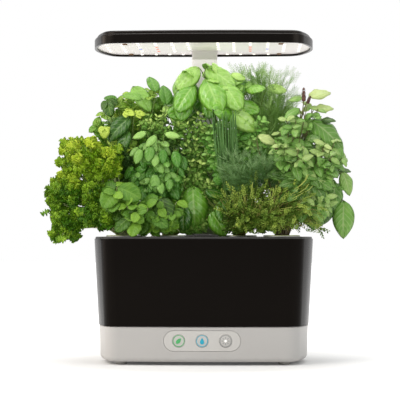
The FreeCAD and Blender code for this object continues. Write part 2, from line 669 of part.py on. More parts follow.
def make_deck():
    plate = prism(BOWL_TOP_HALF_WIDTH, BOWL_TOP_HALF_DEPTH, BOWL_TOP, DECK_TOP, DECK_INSET)
    plate = plate.makeFillet(DECK_EDGE_ROUND, edges_at(plate, DECK_TOP))
    skirt_top = BOWL_TOP + 0.5
    ring = prism(BOWL_TOP_HALF_WIDTH, BOWL_TOP_HALF_DEPTH, BOWL_TOP - SKIRT_DEPTH, skirt_top,
                 BOWL_WALL + SKIRT_GAP + 0.3)
    ring = ring.cut(prism(BOWL_TOP_HALF_WIDTH, BOWL_TOP_HALF_DEPTH, BOWL_TOP - SKIRT_DEPTH - 1, skirt_top + 1,
                          BOWL_WALL + SKIRT_GAP + 0.3 + SKIRT_WALL))
    ring = ring.cut(notch(BOWL_WALL + SKIRT_GAP, BOWL_BOTTOM, skirt_top + 1))
    deck = plate.fuse(ring)
    cuts = [notch(0, BOWL_BOTTOM, DECK_TOP + 1)]
    for x, y in PODS:
        cuts.append(cylinder(POD_HOLE, x, y, BOWL_TOP - 1, DECK_TOP + 1))
    cuts.append(rounded_box(-PORT_LENGTH / 2, PORT_LENGTH / 2, PORT_Y - PORT_WIDTH / 2, PORT_Y + PORT_WIDTH / 2,
                            BOWL_TOP - 1, DECK_TOP + 1, PORT_ROUND))
    deck = deck.cut(cuts)
    ears = []
    for sx in (-1, 1):
        x0 = KNUCKLE_LENGTH / 2 + EAR_GAP
        x1 = x0 + EAR_THICKNESS
        lo, hi = min(sx * x0, sx * x1), max(sx * x0, sx * x1)
        ear = box(lo, hi, HINGE_Y - HINGE_RADIUS, HINGE_Y + HINGE_RADIUS, DECK_TOP - 0.5, HINGE_Z)
        ear = ear.fuse(Part.makeCylinder(HINGE_RADIUS, EAR_THICKNESS, Vector(lo, HINGE_Y, HINGE_Z), Vector(1, 0, 0)))
        ears.append(ear)
    deck = deck.fuse(ears)
    reach = KNUCKLE_LENGTH / 2 + EAR_GAP + EAR_THICKNESS
    deck = deck.cut(Part.makeCylinder(HINGE_PIN_RADIUS + 0.02, 2 * reach + 2,
                                      Vector(-reach - 1, HINGE_Y, HINGE_Z), Vector(1, 0, 0)))
    save("deck", deck)
    save("lid_hinge_pin", Part.makeCylinder(HINGE_PIN_RADIUS, 2 * reach, Vector(-reach, HINGE_Y, HINGE_Z),
                                            Vector(1, 0, 0)))


def make_fill_lid():
    half = PORT_LENGTH / 2 + LID_OVERLAP
    lid = rounded_box(-half, half, LID_FRONT, LID_BACK, LID_BOTTOM, LID_TOP, PORT_ROUND)
    lid = lid.makeFillet(0.7, edges_at(lid, LID_TOP))
    knuckle = Part.makeCylinder(HINGE_RADIUS, KNUCKLE_LENGTH, Vector(-KNUCKLE_LENGTH / 2, HINGE_Y, HINGE_Z),
                                Vector(1, 0, 0))
    web = box(-KNUCKLE_LENGTH / 2, KNUCKLE_LENGTH / 2, LID_BACK - 2, HINGE_Y, LID_BOTTOM + 0.2, LID_TOP - 0.2)
    lip = box(-7, 7, LID_FRONT - 2.5, LID_FRONT + 1, LID_BOTTOM + 0.2, LID_TOP - 0.2)
    lid = lid.fuse([knuckle, web, lip])
    bore = Part.makeCylinder(HINGE_PIN_RADIUS + HINGE_PIN_GAP, KNUCKLE_LENGTH + 2,
                             Vector(-KNUCKLE_LENGTH / 2 - 1, HINGE_Y, HINGE_Z), Vector(1, 0, 0))
    save("fill_port_lid", lid.cut(bore))


def pod_cone(z0, z1, shrink, x, y):
    """Tapered body inside a pod between two heights, smaller than the pod by shrink."""
    def radius(z):
        share = (DECK_TOP - z) / POD_DEPTH
        return POD_RADIUS + (POD_BOTTOM_RADIUS - POD_RADIUS) * share - shrink

    return Part.makeCone(radius(z0), radius(z1), z1 - z0, Vector(x, y, z0))


def make_pods():
    sponges = []
    labels = []
    bottom = DECK_TOP - POD_DEPTH
    for index, (x, y) in enumerate(PODS):
        cup = pod_cone(bottom, DECK_TOP, 0, x, y)
        cup = cup.fuse(cylinder(POD_RADIUS + POD_FLANGE, x, y, DECK_TOP, POD_RIM_TOP))
        hollow = pod_cone(bottom + POD_WALL, DECK_TOP, POD_WALL, x, y)
        hollow = hollow.fuse(cylinder(POD_RADIUS - POD_WALL, x, y, DECK_TOP - 0.01, POD_RIM_TOP + 1))
        slots = []
        for k in range(POD_SLOTS // 2):
            slot = box(x - 30, x + 30, y - POD_SLOT_WIDTH / 2, y + POD_SLOT_WIDTH / 2,
                       bottom - 1, bottom + POD_DEPTH * 0.62)
            slot.rotate(Vector(x, y, 0), Vector(0, 0, 1), k * 360 / POD_SLOTS)
            slots.append(slot.cut(cylinder(POD_BOTTOM_RADIUS * 0.45, x, y, bottom - 2, DECK_TOP)))
        save("pod_basket_%d" % (index + 1), cup.cut(hollow).cut(slots))
        sponges.append(pod_cone(bottom + POD_WALL, SPONGE_TOP, POD_WALL + SPONGE_GAP, x, y))
        label = cylinder(POD_RADIUS + POD_FLANGE - 0.5, x, y, POD_RIM_TOP, POD_RIM_TOP + LABEL_THICKNESS)
        labels.append(label.cut(cylinder(LABEL_HOLE, x, y, POD_RIM_TOP - 1, POD_RIM_TOP + 2)))
    save("grow_sponges", *sponges)
    save("pod_labels", *labels)


def make_pump():
    x0, x1 = PUMP_X - PUMP_LENGTH / 2, PUMP_X + PUMP_LENGTH / 2
    y0, y1 = PUMP_Y - PUMP_WIDTH / 2, PUMP_Y + PUMP_WIDTH / 2
    block = rounded_box(x0, x1, y0, y1, PUMP_BLOCK_BOTTOM, PUMP_BLOCK_TOP, 2)
    can = cylinder(CAN_RADIUS, PUMP_X, PUMP_Y, PUMP_BLOCK_TOP - 1, PUMP_BLOCK_TOP + CAN_HEIGHT)
    can = can.makeFillet(1.5, edges_at(can, PUMP_BLOCK_TOP + CAN_HEIGHT))
    body = block.fuse(can)
    outlet_y = PUMP_Y + PUMP_CHAMBER - RISER_BORE
    outlet_z = (PUMP_BLOCK_BOTTOM + CHAMBER_TOP) / 2
    cuts = [
        cylinder(PUMP_CHAMBER, PUMP_X, PUMP_Y, PUMP_BLOCK_BOTTOM - 1, CHAMBER_TOP),
        cylinder(ROTOR_RADIUS + ROTOR_GAP, PUMP_X, PUMP_Y, PUMP_BLOCK_BOTTOM, WELL_TOP),
        Part.makeCylinder(RISER_BORE - 0.2, RISER_X - PUMP_X, Vector(PUMP_X, outlet_y, outlet_z), Vector(1, 0, 0)),
        cylinder(RISER_BORE, RISER_X, outlet_y, outlet_z, PUMP_BLOCK_TOP + 1),
        cylinder(SHAFT_RADIUS + 0.02, PUMP_X, PUMP_Y, WELL_TOP - 1, WELL_TOP + 3),
    ]
    save("pump_housing", body.cut(cuts))
    cover = rounded_box(x0, x1, y0, y1, PUMP_COVER_BOTTOM, PUMP_BLOCK_BOTTOM, 2)
    feet = [cylinder(2, sx + PUMP_X, sy + PUMP_Y, BOWL_FLOOR_TOP, PUMP_COVER_BOTTOM + 0.5)
            for sx in (-PUMP_LENGTH / 2 + 4, PUMP_LENGTH / 2 - 4) for sy in (-PUMP_WIDTH / 2 + 4, PUMP_WIDTH / 2 - 4)]
    cover = cover.fuse(feet)
    inlets = []
    for k in range(8):
        angle = math.radians(45 * k)
        inlets.append(cylinder(1.3, PUMP_X + 5 * math.cos(angle), PUMP_Y + 5 * math.sin(angle),
                               PUMP_COVER_BOTTOM - 1, PUMP_BLOCK_BOTTOM + 1))
    inlets.append(cylinder(SHAFT_RADIUS + 0.02, PUMP_X, PUMP_Y, PUMP_BLOCK_BOTTOM - 1, PUMP_BLOCK_BOTTOM + 1))
    save("pump_cover", cover.cut(inlets))
    save("pump_shaft", cylinder(SHAFT_RADIUS, PUMP_X, PUMP_Y, PUMP_BLOCK_BOTTOM - 1, WELL_TOP + 2.9))
    return outlet_y


def make_impeller():
    z0 = PUMP_BLOCK_BOTTOM + ROTOR_GAP
    z1 = CHAMBER_TOP - ROTOR_GAP
    hub = cylinder(ROTOR_RADIUS * 0.6, PUMP_X, PUMP_Y, z0, z1)
    disc = cylinder(IMPELLER_RADIUS, PUMP_X, PUMP_Y, z1 - 1, z1)
    blades = []
    for k in range(IMPELLER_BLADES):
        blade = box(PUMP_X + 1.5, PUMP_X + IMPELLER_RADIUS - 0.4, PUMP_Y - BLADE_THICKNESS / 2,
                    PUMP_Y + BLADE_THICKNESS / 2, z0, z1)
        blade.rotate(Vector(PUMP_X, PUMP_Y, 0), Vector(0, 0, 1), k * 360 / IMPELLER_BLADES)
        blades.append(blade)
    bore = cylinder(SHAFT_RADIUS + SHAFT_GAP, PUMP_X, PUMP_Y, z0 - 1, WELL_TOP + 1)
    save("pump_impeller", hub.fuse([disc] + blades).cut(bore))
    rotor = cylinder(ROTOR_RADIUS, PUMP_X, PUMP_Y, z1, z1 + ROTOR_LENGTH)
    save("rotor_magnet", rotor.cut(bore))


def make_plumbing(outlet_y):
    top = BOWL_TOP - SKIRT_DEPTH - 3
    riser = cylinder(RISER_RADIUS, RISER_X, outlet_y, PUMP_BLOCK_TOP, top)
    riser = riser.cut(cylinder(RISER_BORE, RISER_X, outlet_y, PUMP_BLOCK_TOP - 1, top + 1))
    roof = BOWL_TOP
    cap = cylinder(RISER_RADIUS + 1, RISER_X, outlet_y, top, roof)
    arm = Part.makeCylinder(RISER_RADIUS - 0.5, SPOUT_REACH, Vector(RISER_X, outlet_y, (top + roof) / 2),
                            Vector(0, -1, 0))
    spout = cap.fuse(arm)
    spout = spout.cut(cylinder(RISER_BORE, RISER_X, outlet_y, top - 1, (top + roof) / 2))
    spout = spout.cut(Part.makeCylinder(RISER_BORE - 0.4, SPOUT_REACH + 1,
                                        Vector(RISER_X, outlet_y, (top + roof) / 2), Vector(0, -1, 0)))
    save("riser_and_spout", riser, spout)
    front = PUMP_Y - PUMP_WIDTH / 2
    save("pump_filter", box(PUMP_X - PUMP_LENGTH / 2 + 1, PUMP_X + PUMP_LENGTH / 2 - 1, front - FILTER_THICKNESS,
                            front, BOWL_FLOOR_TOP, BOWL_FLOOR_TOP + FILTER_HEIGHT))
    save("level_probes", *[cylinder(PROBE_RADIUS, PROBE_X + k * PROBE_SPACING, PROBE_Y,
                                    BOWL_TOP - PROBE_LENGTH, BOWL_TOP) for k in range(2)])


def make_dock_contacts():
    """Spring pads that carry the pump's current between the column and the bowl."""
    column_side = []
    bowl_side = []
    z0 = BASE_TOP + CONTACT_LIFT
    for k in (-1, 1):
        x0 = k * CONTACT_SPACING - CONTACT_WIDTH / 2
        x1 = x0 + CONTACT_WIDTH
        column_side.append(box(x0, x1, COLUMN_FRONT - CONTACT_THICKNESS, COLUMN_FRONT, z0, z0 + CONTACT_HEIGHT))
        bowl_side.append(box(x0, x1, NOTCH_FRONT, NOTCH_FRONT + CONTACT_THICKNESS, z0, z0 + CONTACT_HEIGHT))
    save("column_contacts", *column_side)
    save("bowl_contacts", *bowl_side)


def hood_screw_places():
    return [(sx * HOOD_SCREW_X, y) for sx in (-1, 1) for y in (HOOD_SCREW_FRONT, HOOD_SCREW_BACK)]


def vents():
    """Cooling slots through the roof of the hood, in two banks."""
    slots = []
    for sx in (-1, 1):
        for k in range(VENT_COUNT):
            x = sx * VENT_BANK_X + (k - (VENT_COUNT - 1) / 2) * VENT_SPACING
            slots.append(rounded_box(x - VENT_WIDTH / 2, x + VENT_WIDTH / 2, VENT_Y - VENT_LENGTH / 2,
                                     VENT_Y + VENT_LENGTH / 2, ROOF_UNDERSIDE - 1, HOOD_TOP + 1, VENT_WIDTH / 2 - 0.01))
    return slots


def make_hood():
    side = prism(HOOD_HALF_WIDTH, HOOD_HALF_DEPTH, HOOD_RIM_HEIGHT, HOOD_SHOULDER)
    side = side.makeFillet(HOOD_EDGE_ROUND, edges_at(side, HOOD_SHOULDER))
    crown = prism(HOOD_HALF_WIDTH, HOOD_HALF_DEPTH, HOOD_SHOULDER - 1, HOOD_TOP, HOOD_CROWN_INSET)
    crown = crown.makeFillet(HOOD_CROWN - 0.2, edges_at(crown, HOOD_TOP))
    shell = side.fuse(crown)
    hollow = prism(HOOD_HALF_WIDTH, HOOD_HALF_DEPTH, HOOD_RIM_HEIGHT - 1, HOOD_SHOULDER - 2, HOOD_WALL)
    upper = prism(HOOD_HALF_WIDTH, HOOD_HALF_DEPTH, HOOD_SHOULDER - 3, ROOF_UNDERSIDE,
                  HOOD_CROWN_INSET + HOOD_WALL)
    shell = shell.cut(hollow.fuse(upper))
    posts = [cylinder(HOOD_POST_RADIUS, x, y, SPREADER_TOP, ROOF_UNDERSIDE + 0.5) for x, y in hood_screw_places()]
    shell = shell.fuse(posts)
    cuts = vents()
    for x, y in hood_screw_places():
        cuts.append(cylinder(SCREW_RADIUS + SCREW_CLEARANCE, x, y, SPREADER_TOP - 1, LED_BOARD_BOTTOM + SCREW_LENGTH))
    save("hood_shell", shell.cut(cuts))


def make_hood_inside():
    gap = ARM_CUTOUT_GAP
    opening = rounded_box(-ARM_WIDTH / 2 - gap, ARM_WIDTH / 2 + gap, ARM_FRONT - gap, ARM_BACK + gap,
                          LED_BOARD_BOTTOM - 1, SPREADER_TOP + 1, ARM_ROUND)
    holes = [cylinder(SCREW_RADIUS + 0.1, x, y, LED_BOARD_BOTTOM - 1, SPREADER_TOP + 1)
             for x, y in hood_screw_places()]
    board = prism(HOOD_HALF_WIDTH, HOOD_HALF_DEPTH, LED_BOARD_BOTTOM, LED_BOARD_TOP, HOOD_WALL + LED_BOARD_GAP)
    save("led_board", board.cut([opening] + holes))
    plate = prism(HOOD_HALF_WIDTH, HOOD_HALF_DEPTH, LED_BOARD_TOP, SPREADER_TOP, HOOD_WALL + LED_BOARD_GAP)
    save("heat_spreader", plate.cut([opening] + holes))
    save("hood_screws", *[screw(x, y, LED_BOARD_BOTTOM - SCREW_HEAD_HEIGHT) for x, y in hood_screw_places()])
    half = ARM_WIDTH / 2
    block = rounded_box(-half - COUPLER_WALL, half + COUPLER_WALL, ARM_FRONT - COUPLER_WALL, ARM_BACK + COUPLER_WALL,
                        SPREADER_TOP, ROOF_UNDERSIDE, ARM_ROUND)
    socket = rounded_box(-half - 0.05, half + 0.05, ARM_FRONT - 0.05, ARM_BACK + 0.05,
                         SPREADER_TOP - 1, UPPER_TOP, ARM_ROUND)
    save("arm_coupler", block.cut(socket))


def led(x, y):
    half = LED_SIZE / 2
    return box(x - half, x + half, y - half, y + half, LED_BOARD_BOTTOM - LED_HEIGHT, LED_BOARD_BOTTOM)


def make_leds():
    white = []
    red = []
    blue = []
    for sx in (-1, 1):
        for x in LED_COLUMNS:
            for y in LED_ROWS:
                in_arm = x < ARM_WIDTH / 2 + LED_SIZE and y > ARM_FRONT - LED_SIZE
                past_end = x > LED_COLUMNS[-2] and abs(y) > LED_END_ROW_LIMIT
                on_screw = abs(x - HOOD_SCREW_X) < 6 and abs(y - HOOD_SCREW_FRONT) < 9
                if in_arm or past_end or on_screw:
                    continue
                if x == RED_COLUMN and y > LED_ROWS[1]:
                    red.append(led(sx * x, y))
                elif x == BLUE_COLUMN and y == BLUE_ROW:
                    blue.append(led(sx * x, y))
                else:
                    white.append(led(sx * x, y))
        for x in LED_BACK_COLUMNS:
            white.append(led(sx * x, LED_BACK_ROW))
    save("leds_white", *white)
    save("leds_red", *red)
    save("leds_blue", *blue)


def stem(pod, start, end, radius):
    """Upright foot on the sponge inside the label's hole, then a straight run to the end point."""
    x = pod[0] + start[0]
    y = pod[1] + start[1]
    foot_top = SPONGE_TOP + STEM_RISE
    knee = Vector(x, y, foot_top)
    run = end - knee
    foot = cylinder(radius, x, y, SPONGE_TOP, foot_top)
    elbow = Part.makeSphere(radius, knee)
    return [foot, elbow, Part.makeCylinder(radius, run.Length, knee, run)]


def leaf(base, yaw, pitch, length, width, grow):
    """Arched pointed leaf that starts at base, heading along yaw and rising by pitch, in degrees."""
    thickness = LEAF_THICKNESS + 2 * grow
    half = width / 2 + grow
    tip = length + grow
    flat = Part.Face(Part.Wire([
        arc(Vector(-grow, 0, 0), Vector(length * 0.42, -half, 0), Vector(tip, 0, 0)),
        arc(Vector(tip, 0, 0), Vector(length * 0.42, half, 0), Vector(-grow, 0, 0)),
    ]))
    plan = flat.extrude(Vector(0, 0, length))
    plan.translate(Vector(0, 0, -length * 0.7))
    bend = length * 0.95
    centre = Vector(length * 0.36, -width, -bend)
    ring = Part.makeCylinder(bend + thickness / 2, 2 * width, centre, Vector(0, 1, 0))
    ring = ring.cut(Part.makeCylinder(bend - thickness / 2, 2 * width, centre, Vector(0, 1, 0)))
    blade = plan.common(ring)
    blade = max(blade.Solids, key=lambda s: s.BoundBox.ZMax)
    blade.rotate(Vector(0, 0, 0), Vector(0, 1, 0), -pitch)
    blade.rotate(Vector(0, 0, 0), Vector(0, 0, 1), yaw)
    blade.translate(base)
    return blade


def stem_solid(plant, grow):
    """The stems of one herb alone, swollen by grow, which every other herb keeps clear of."""
    pieces = []
    for pod, sx, sy, x, y, height in plant["stems"]:
        pieces.extend(stem(PODS[pod], (sx, sy), Vector(x, y, DECK_TOP + height), STEM_RADIUS + grow))
    return pieces[0].fuse(pieces[1:])


def plant_solid(plant, grow=0.0):
    """One herb as a single body of stems, leaf masses and single leaves, swollen all round by grow."""
    pieces = []
    for x, y, height, radius in plant["masses"]:
        pieces.append(Part.makeSphere(radius + grow, Vector(x, y, DECK_TOP + height)))
    for pod, sx, sy, x, y, height in plant["stems"]:
        pieces.extend(stem(PODS[pod], (sx, sy), Vector(x, y, DECK_TOP + height), STEM_RADIUS + grow))
    for x, y, height, yaw, pitch, length, width in plant.get("leaves", ()):
        base = Vector(x, y, DECK_TOP + height)
        pieces.append(leaf(base, yaw, pitch, length, width, grow))
        pieces.append(Part.makeSphere(PETIOLE_RADIUS + STEM_RADIUS + grow, base))
    return pieces[0].fuse(pieces[1:])


# The herbs, from the front left round to the front right. Masses: x, y, height over the deck, radius.
# Stems: pod, offset on the pod, far end. Leaves: x, y, height, heading, rise, length, width.
HERBS = {
    "curly_parsley": {
        "masses": (
            (-140, -30, 98, 32), (-118, -30, 90, 20), (-166, -30, 62, 23), (-134, -34, 58, 24),
            (-169, -30, 30, 21), (-140, -34, 27, 20), (-172, -30, 8, 17),
        ),
        "stems": (
            (0, -5, 0, -140, -30, 98), (0, 2, -2, -118, -30, 90), (0, -6, 3, -166, -30, 62),
            (0, -2, -5, -140, -34, 27), (0, -6, -2, -168, -30, 26),
        ),
    },
    "mint": {
        "masses": ((-100, -56, 54, 19), (-84, -60, 38, 18), (-60, -56, 32, 20), (-40, -56, 27, 17)),
        "stems": ((0, 4, 3, -100, -56, 54), (0, 6, -1, -84, -60, 36), (0, 7, 1, -56, -54, 28)),
        "leaves": (
            (-98, -70, 52, 215, -10, 28, 20), (-86, -74, 44, -60, -20, 28, 22), (-70, -70, 36, -110, -30, 28, 20),
            (-54, -70, 36, -80, -25, 27, 20), (-38, -68, 26, -70, -30, 25, 19),
        ),
    },
    "coriander": {
        "masses": (
            (-112, 28, 142, 26), (-84, 30, 160, 25), (-64, 32, 168, 17), (-98, 24, 108, 23),
            (-97, 20, 78, 19), (-96, 62, 138, 26),
        ),
        "stems": ((1, -4, 2, -112, 28, 142), (1, 4, 2, -84, 30, 160), (1, 0, -5, -97, 20, 78), (1, 0, 6, -96, 62, 138)),
    },
    "bush_basil": {
        "masses": ((-60, -14, 98, 25), (-78, -14, 86, 17), (-44, -14, 78, 20), (-62, -12, 62, 17)),
        "stems": ((2, -4, -2, -62, -14, 98), (2, 2, -4, -46, -14, 78), (2, -6, 1, -76, -14, 84)),
    },
    "oregano": {
        "masses": ((-18, 4, 100, 20), (-14, 4, 128, 16), (-22, 0, 74, 17)),
        "stems": ((2, 5, 2, -20, 4, 100), (2, 6, -2, -24, 0, 74)),
    },
    "large_leaf_basil": {
        "masses": ((-24, 2, 166, 21), (8, 0, 178, 21), (38, 2, 170, 23), (60, 4, 152, 16), (12, 4, 150, 17)),
        "stems": ((3, -3, 4, 14, 4, 160), (3, 3, 4, 42, 4, 165)),
        "leaves": (
            (-30, -6, 182, 165, 25, 34, 27), (-16, -14, 186, -120, 10, 34, 28), (4, -14, 192, -95, 5, 36, 29),
            (16, -12, 190, -60, 12, 36, 28), (36, -14, 184, -100, -5, 36, 29), (50, -12, 176, -40, 8, 36, 28),
            (-28, -14, 166, -125, -25, 34, 27), (62, -6, 158, -20, 5, 32, 25), (26, -16, 168, -80, -35, 34, 27),
            (34, 10, 190, 20, 15, 32, 24),
        ),
    },
    "chives": {
        "masses": ((20, -8, 116, 14), (24, -10, 92, 17), (32, -12, 68, 16)),
        "stems": ((3, -6, -3, 20, -8, 116), (3, -3, -6, 32, -12, 68)),
    },
    "dill": {
        "masses": (
            (77, 29, 164, 33), (70, 30, 194, 19), (99, 33, 136, 22), (66, 24, 128, 22), (60, 2, 98, 20),
            (64, -14, 80, 21),
        ),
        "stems": ((4, -4, -2, 78, 32, 168), (4, 3, 1, 98, 36, 136), (4, -6, 3, 66, 26, 128)),
    },
    "thai_basil": {
        "masses": (
            (112, -32, 144, 24), (130, -30, 157, 21), (147, -32, 109, 25), (130, -34, 84, 25),
            (166, -34, 72, 23), (138, -36, 46, 20), (168, -34, 32, 22), (168, -34, 8, 17),
        ),
        "stems": (
            (5, 2, 3, 114, -32, 144), (5, 6, 0, 140, -30, 150), (5, 5, -4, 150, -34, 70), (5, 7, 2, 166, -34, 34),
        ),
        "leaves": (
            (130, -40, 178, -50, 20, 34, 20), (112, -50, 156, -120, -10, 32, 18), (140, -52, 140, -80, -30, 36, 22),
            (166, -46, 118, -30, -10, 36, 20), (156, -58, 96, -70, -40, 36, 21), (170, -54, 66, -60, -55, 38, 21),
            (144, -56, 62, -110, -40, 34, 20), (172, -52, 38, -70, -65, 38, 20), (122, -58, 96, -120, -30, 32, 18),
            (128, -54, 126, -100, -20, 34, 20),
        ),
    },
    "thyme": {
        "masses": ((40, -50, 37, 20), (66, -56, 35, 22), (94, -66, 33, 23), (118, -60, 31, 20), (96, -46, 40, 16)),
        "stems": ((3, 2, -7, 42, -46, 34), (5, -5, -4, 94, -60, 32), (5, 0, -7, 112, -58, 30)),
    },
}


def make_plants():
    column = box(-COLUMN_HALF_WIDTH - ARM_CLEARANCE, COLUMN_HALF_WIDTH + ARM_CLEARANCE,
                 COLUMN_FRONT - ARM_CLEARANCE, PLANT_HALF_DEPTH + 50, DECK_TOP - 5, HOOD_RIM_HEIGHT)
    swing = box(-LID_SWING_WIDTH / 2, LID_SWING_WIDTH / 2, -PLANT_HALF_DEPTH - 5, LID_SWING_BACK,
                DECK_TOP - 5, DECK_TOP + LID_SWING_HEIGHT)
    reach = box(-PLANT_HALF_WIDTH, PLANT_HALF_WIDTH, -PLANT_HALF_DEPTH, PLANT_HALF_DEPTH,
                BASE_TOP, PLANT_CEILING)
    stems = {name: stem_solid(plant, PLANT_GAP) for name, plant in HERBS.items()}
    taken = []
    for name, plant in HERBS.items():
        body = plant_solid(plant).common(reach).cut([column, swing])
        others = [shape for other, shape in stems.items() if other != name]
        for shape in taken + others:
            body = body.cut(shape)
        rooted = [solid for solid in body.Solids if solid.BoundBox.ZMin < SPONGE_TOP + 0.01]
        save(name, max(rooted, key=lambda solid: solid.Volume))
        taken.append(plant_solid(plant, PLANT_GAP))


def main():
    os.makedirs("parts", exist_ok=True)
    body = base_solid()
    make_base_shell(body)
    make_bottom_plate()
    make_feet()
    make_base_screws()
    make_control_panel(body)
    make_control_board()
    make_main_board()
    make_power_inlet()
    make_column()
    make_arm()
    make_bowl()
    make_deck()
    make_fill_lid()
    make_pods()
    outlet_y = make_pump()
    make_impeller()
    make_plumbing(outlet_y)
    make_dock_contacts()
    make_hood()
    make_hood_inside()
    make_leds()
    make_plants()


main()
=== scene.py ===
"""Looks of a countertop hydroponic garden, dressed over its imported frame.

Everything is in metres in the garden's own frame: +X right, +Y back, +Z up, table at z = 0.
"""

import json
import logging
import math
import random
from dataclasses import dataclass, field
from enum import Enum

import bmesh
import bpy
from mathutils import Matrix, Vector

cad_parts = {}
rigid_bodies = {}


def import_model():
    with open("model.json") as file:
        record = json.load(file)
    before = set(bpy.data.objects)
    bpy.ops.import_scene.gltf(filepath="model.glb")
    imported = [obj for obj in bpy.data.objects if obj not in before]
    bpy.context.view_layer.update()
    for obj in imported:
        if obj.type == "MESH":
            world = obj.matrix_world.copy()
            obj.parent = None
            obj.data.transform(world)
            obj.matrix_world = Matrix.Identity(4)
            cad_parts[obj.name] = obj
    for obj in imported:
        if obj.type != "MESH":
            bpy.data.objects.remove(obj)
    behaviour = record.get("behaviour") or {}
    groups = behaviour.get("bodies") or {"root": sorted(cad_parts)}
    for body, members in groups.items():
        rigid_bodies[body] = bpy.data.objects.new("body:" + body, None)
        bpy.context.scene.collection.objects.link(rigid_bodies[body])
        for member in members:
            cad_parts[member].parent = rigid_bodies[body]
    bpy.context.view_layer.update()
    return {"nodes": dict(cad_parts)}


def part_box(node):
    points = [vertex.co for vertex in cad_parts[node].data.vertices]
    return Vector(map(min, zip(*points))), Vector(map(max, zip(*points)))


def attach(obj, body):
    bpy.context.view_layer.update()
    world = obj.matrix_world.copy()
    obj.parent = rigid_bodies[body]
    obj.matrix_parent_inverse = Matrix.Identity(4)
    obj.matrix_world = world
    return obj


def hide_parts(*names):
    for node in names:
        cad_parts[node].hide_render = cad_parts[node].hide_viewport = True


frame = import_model()
LOG = logging.getLogger("garden")
MM = 0.001

DECK_FACE = 152.3 * MM
SPONGE_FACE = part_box("grow_sponges")[1].z
LAMP_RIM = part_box("hood_shell")[0].z
ARM_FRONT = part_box("arm_column")[0].y
ARM_HALF_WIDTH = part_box("arm_column")[1].x
BOWL_HALF_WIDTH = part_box("bowl")[1].x

# Where leaves may reach: room kept to the lamp, the arm, the lid's swing and the deck
GARDEN_HALF_WIDTH = 195 * MM
GARDEN_HALF_DEPTH = 92 * MM
LAMP_ROOM = 10 * MM
ARM_SIDE_ROOM = 3 * MM
ARM_FRONT_ROOM = 4 * MM
LID_HALF_WIDTH = 24 * MM
LID_BACK = -24 * MM
LID_SWING = 32 * MM
DECK_ROOM = 4 * MM
BOWL_SIDE_ROOM = 4 * MM
BOWL_HALF_DEPTH = 79 * MM
HANG_BELOW_DECK = 10 * MM

# How far shoots turn to the front and up as they spread over a clump
TIPS_FORWARD = 0.35
TIPS_UP = 0.15

# Size of the slow change of shade on wide plastic faces
MOTTLE_MM = 60.0

# Buttons: depth that a mark goes into the face, the sun's dot, and its rays' reach in mm
INLAY_SUNK = 0.5 * MM
SUN_RADIUS = 1.5 * MM
RAY_REACH = (2.7, 4.7)
RAY_HALF_WIDTH = 0.42 * MM

# Sponges: radius at the foot, what it gains up to the top, and the top's radius, in mm
SPONGE_FOOT = 12.4
SPONGE_FLARE = 5.4
SPONGE_TOP = 17.8

# Faces of one lamp lie closer together than this
LAMP_SPACING = 6 * MM


def linear(code: str) -> tuple[float, float, float, float]:
    """Turns an sRGB hex colour into linear RGBA.

    Args:
        code: Colour such as "#a0b0c0".

    Returns:
        Linear red, green, blue and an alpha of 1.
    """
    parts = [int(code[i:i + 2], 16) / 255 for i in (1, 3, 5)]
    lin = [c / 12.92 if c <= 0.04045 else ((c + 0.055) / 1.055) ** 2.4 for c in parts]
    return lin[0], lin[1], lin[2], 1.0


def feed(tree: bpy.types.NodeTree, node: bpy.types.Node, inputs: dict) -> bpy.types.Node:
    """Sets a node's inputs and returns the node.

    Args:
        tree: Tree of the node.
        node: Node that is fed.
        inputs: Input name or index to a value, or to the output socket that feeds it.

    Returns:
        The same node.
    """
    for key, value in inputs.items():
        if isinstance(value, bpy.types.NodeSocket):
            tree.links.new(value, node.inputs[key])
        else:
            node.inputs[key].default_value = value
    return node


def add_node(
    tree: bpy.types.NodeTree, kind: str, settings: dict | None = None, inputs: dict | None = None
) -> bpy.types.Node:
    """Adds one node, such as a "ShaderNodeMath", with its settings, and feeds its inputs."""
    node = tree.nodes.new(kind)
    for name, value in (settings or {}).items():
        setattr(node, name, value)
    return feed(tree, node, inputs or {})


def calc(tree: bpy.types.NodeTree, operation: str, *terms: object) -> bpy.types.NodeSocket:
    """Adds a sum of values or sockets and returns its result."""
    return add_node(tree, "ShaderNodeMath", {"operation": operation}, dict(enumerate(terms))).outputs["Value"]


def span(
    tree: bpy.types.NodeTree,
    value: bpy.types.NodeSocket,
    low: float,
    high: float,
    start: float = 0.0,
    end: float = 1.0,
) -> bpy.types.NodeSocket:
    """Maps a value from start to end onto low to high, and stops at both."""
    given = {"Value": value, "From Min": start, "From Max": end, "To Min": low, "To Max": high}
    return add_node(tree, "ShaderNodeMapRange", None, given).outputs["Result"]


def noise(
    tree: bpy.types.NodeTree, at: bpy.types.NodeSocket, size_mm: float, detail: float = 2.0
) -> bpy.types.NodeSocket:
    """Adds a cloudy pattern of a real size."""
    given = {"Vector": at, "Scale": 1 / (size_mm * MM), "Detail": detail}
    return add_node(tree, "ShaderNodeTexNoise", None, given).outputs["Fac"]


def stretched(
    tree: bpy.types.NodeTree, at: bpy.types.NodeSocket, scale: tuple[float, float, float]
) -> bpy.types.NodeSocket:
    """Scales a place along its axes, so that a pattern on it is drawn out."""
    return add_node(tree, "ShaderNodeMapping", None, {"Vector": at, "Scale": scale}).outputs["Vector"]


def relief(
    tree: bpy.types.NodeTree, height: bpy.types.NodeSocket, strength: float, depth_mm: float
) -> bpy.types.NodeSocket:
    """Adds a bump from a pattern and returns the normal."""
    given = {"Height": height, "Strength": strength, "Distance": depth_mm * MM}
    return add_node(tree, "ShaderNodeBump", None, given).outputs["Normal"]


def object_place(tree: bpy.types.NodeTree) -> bpy.types.NodeSocket:
    """Returns the object coordinates."""
    return add_node(tree, "ShaderNodeTexCoord").outputs["Object"]


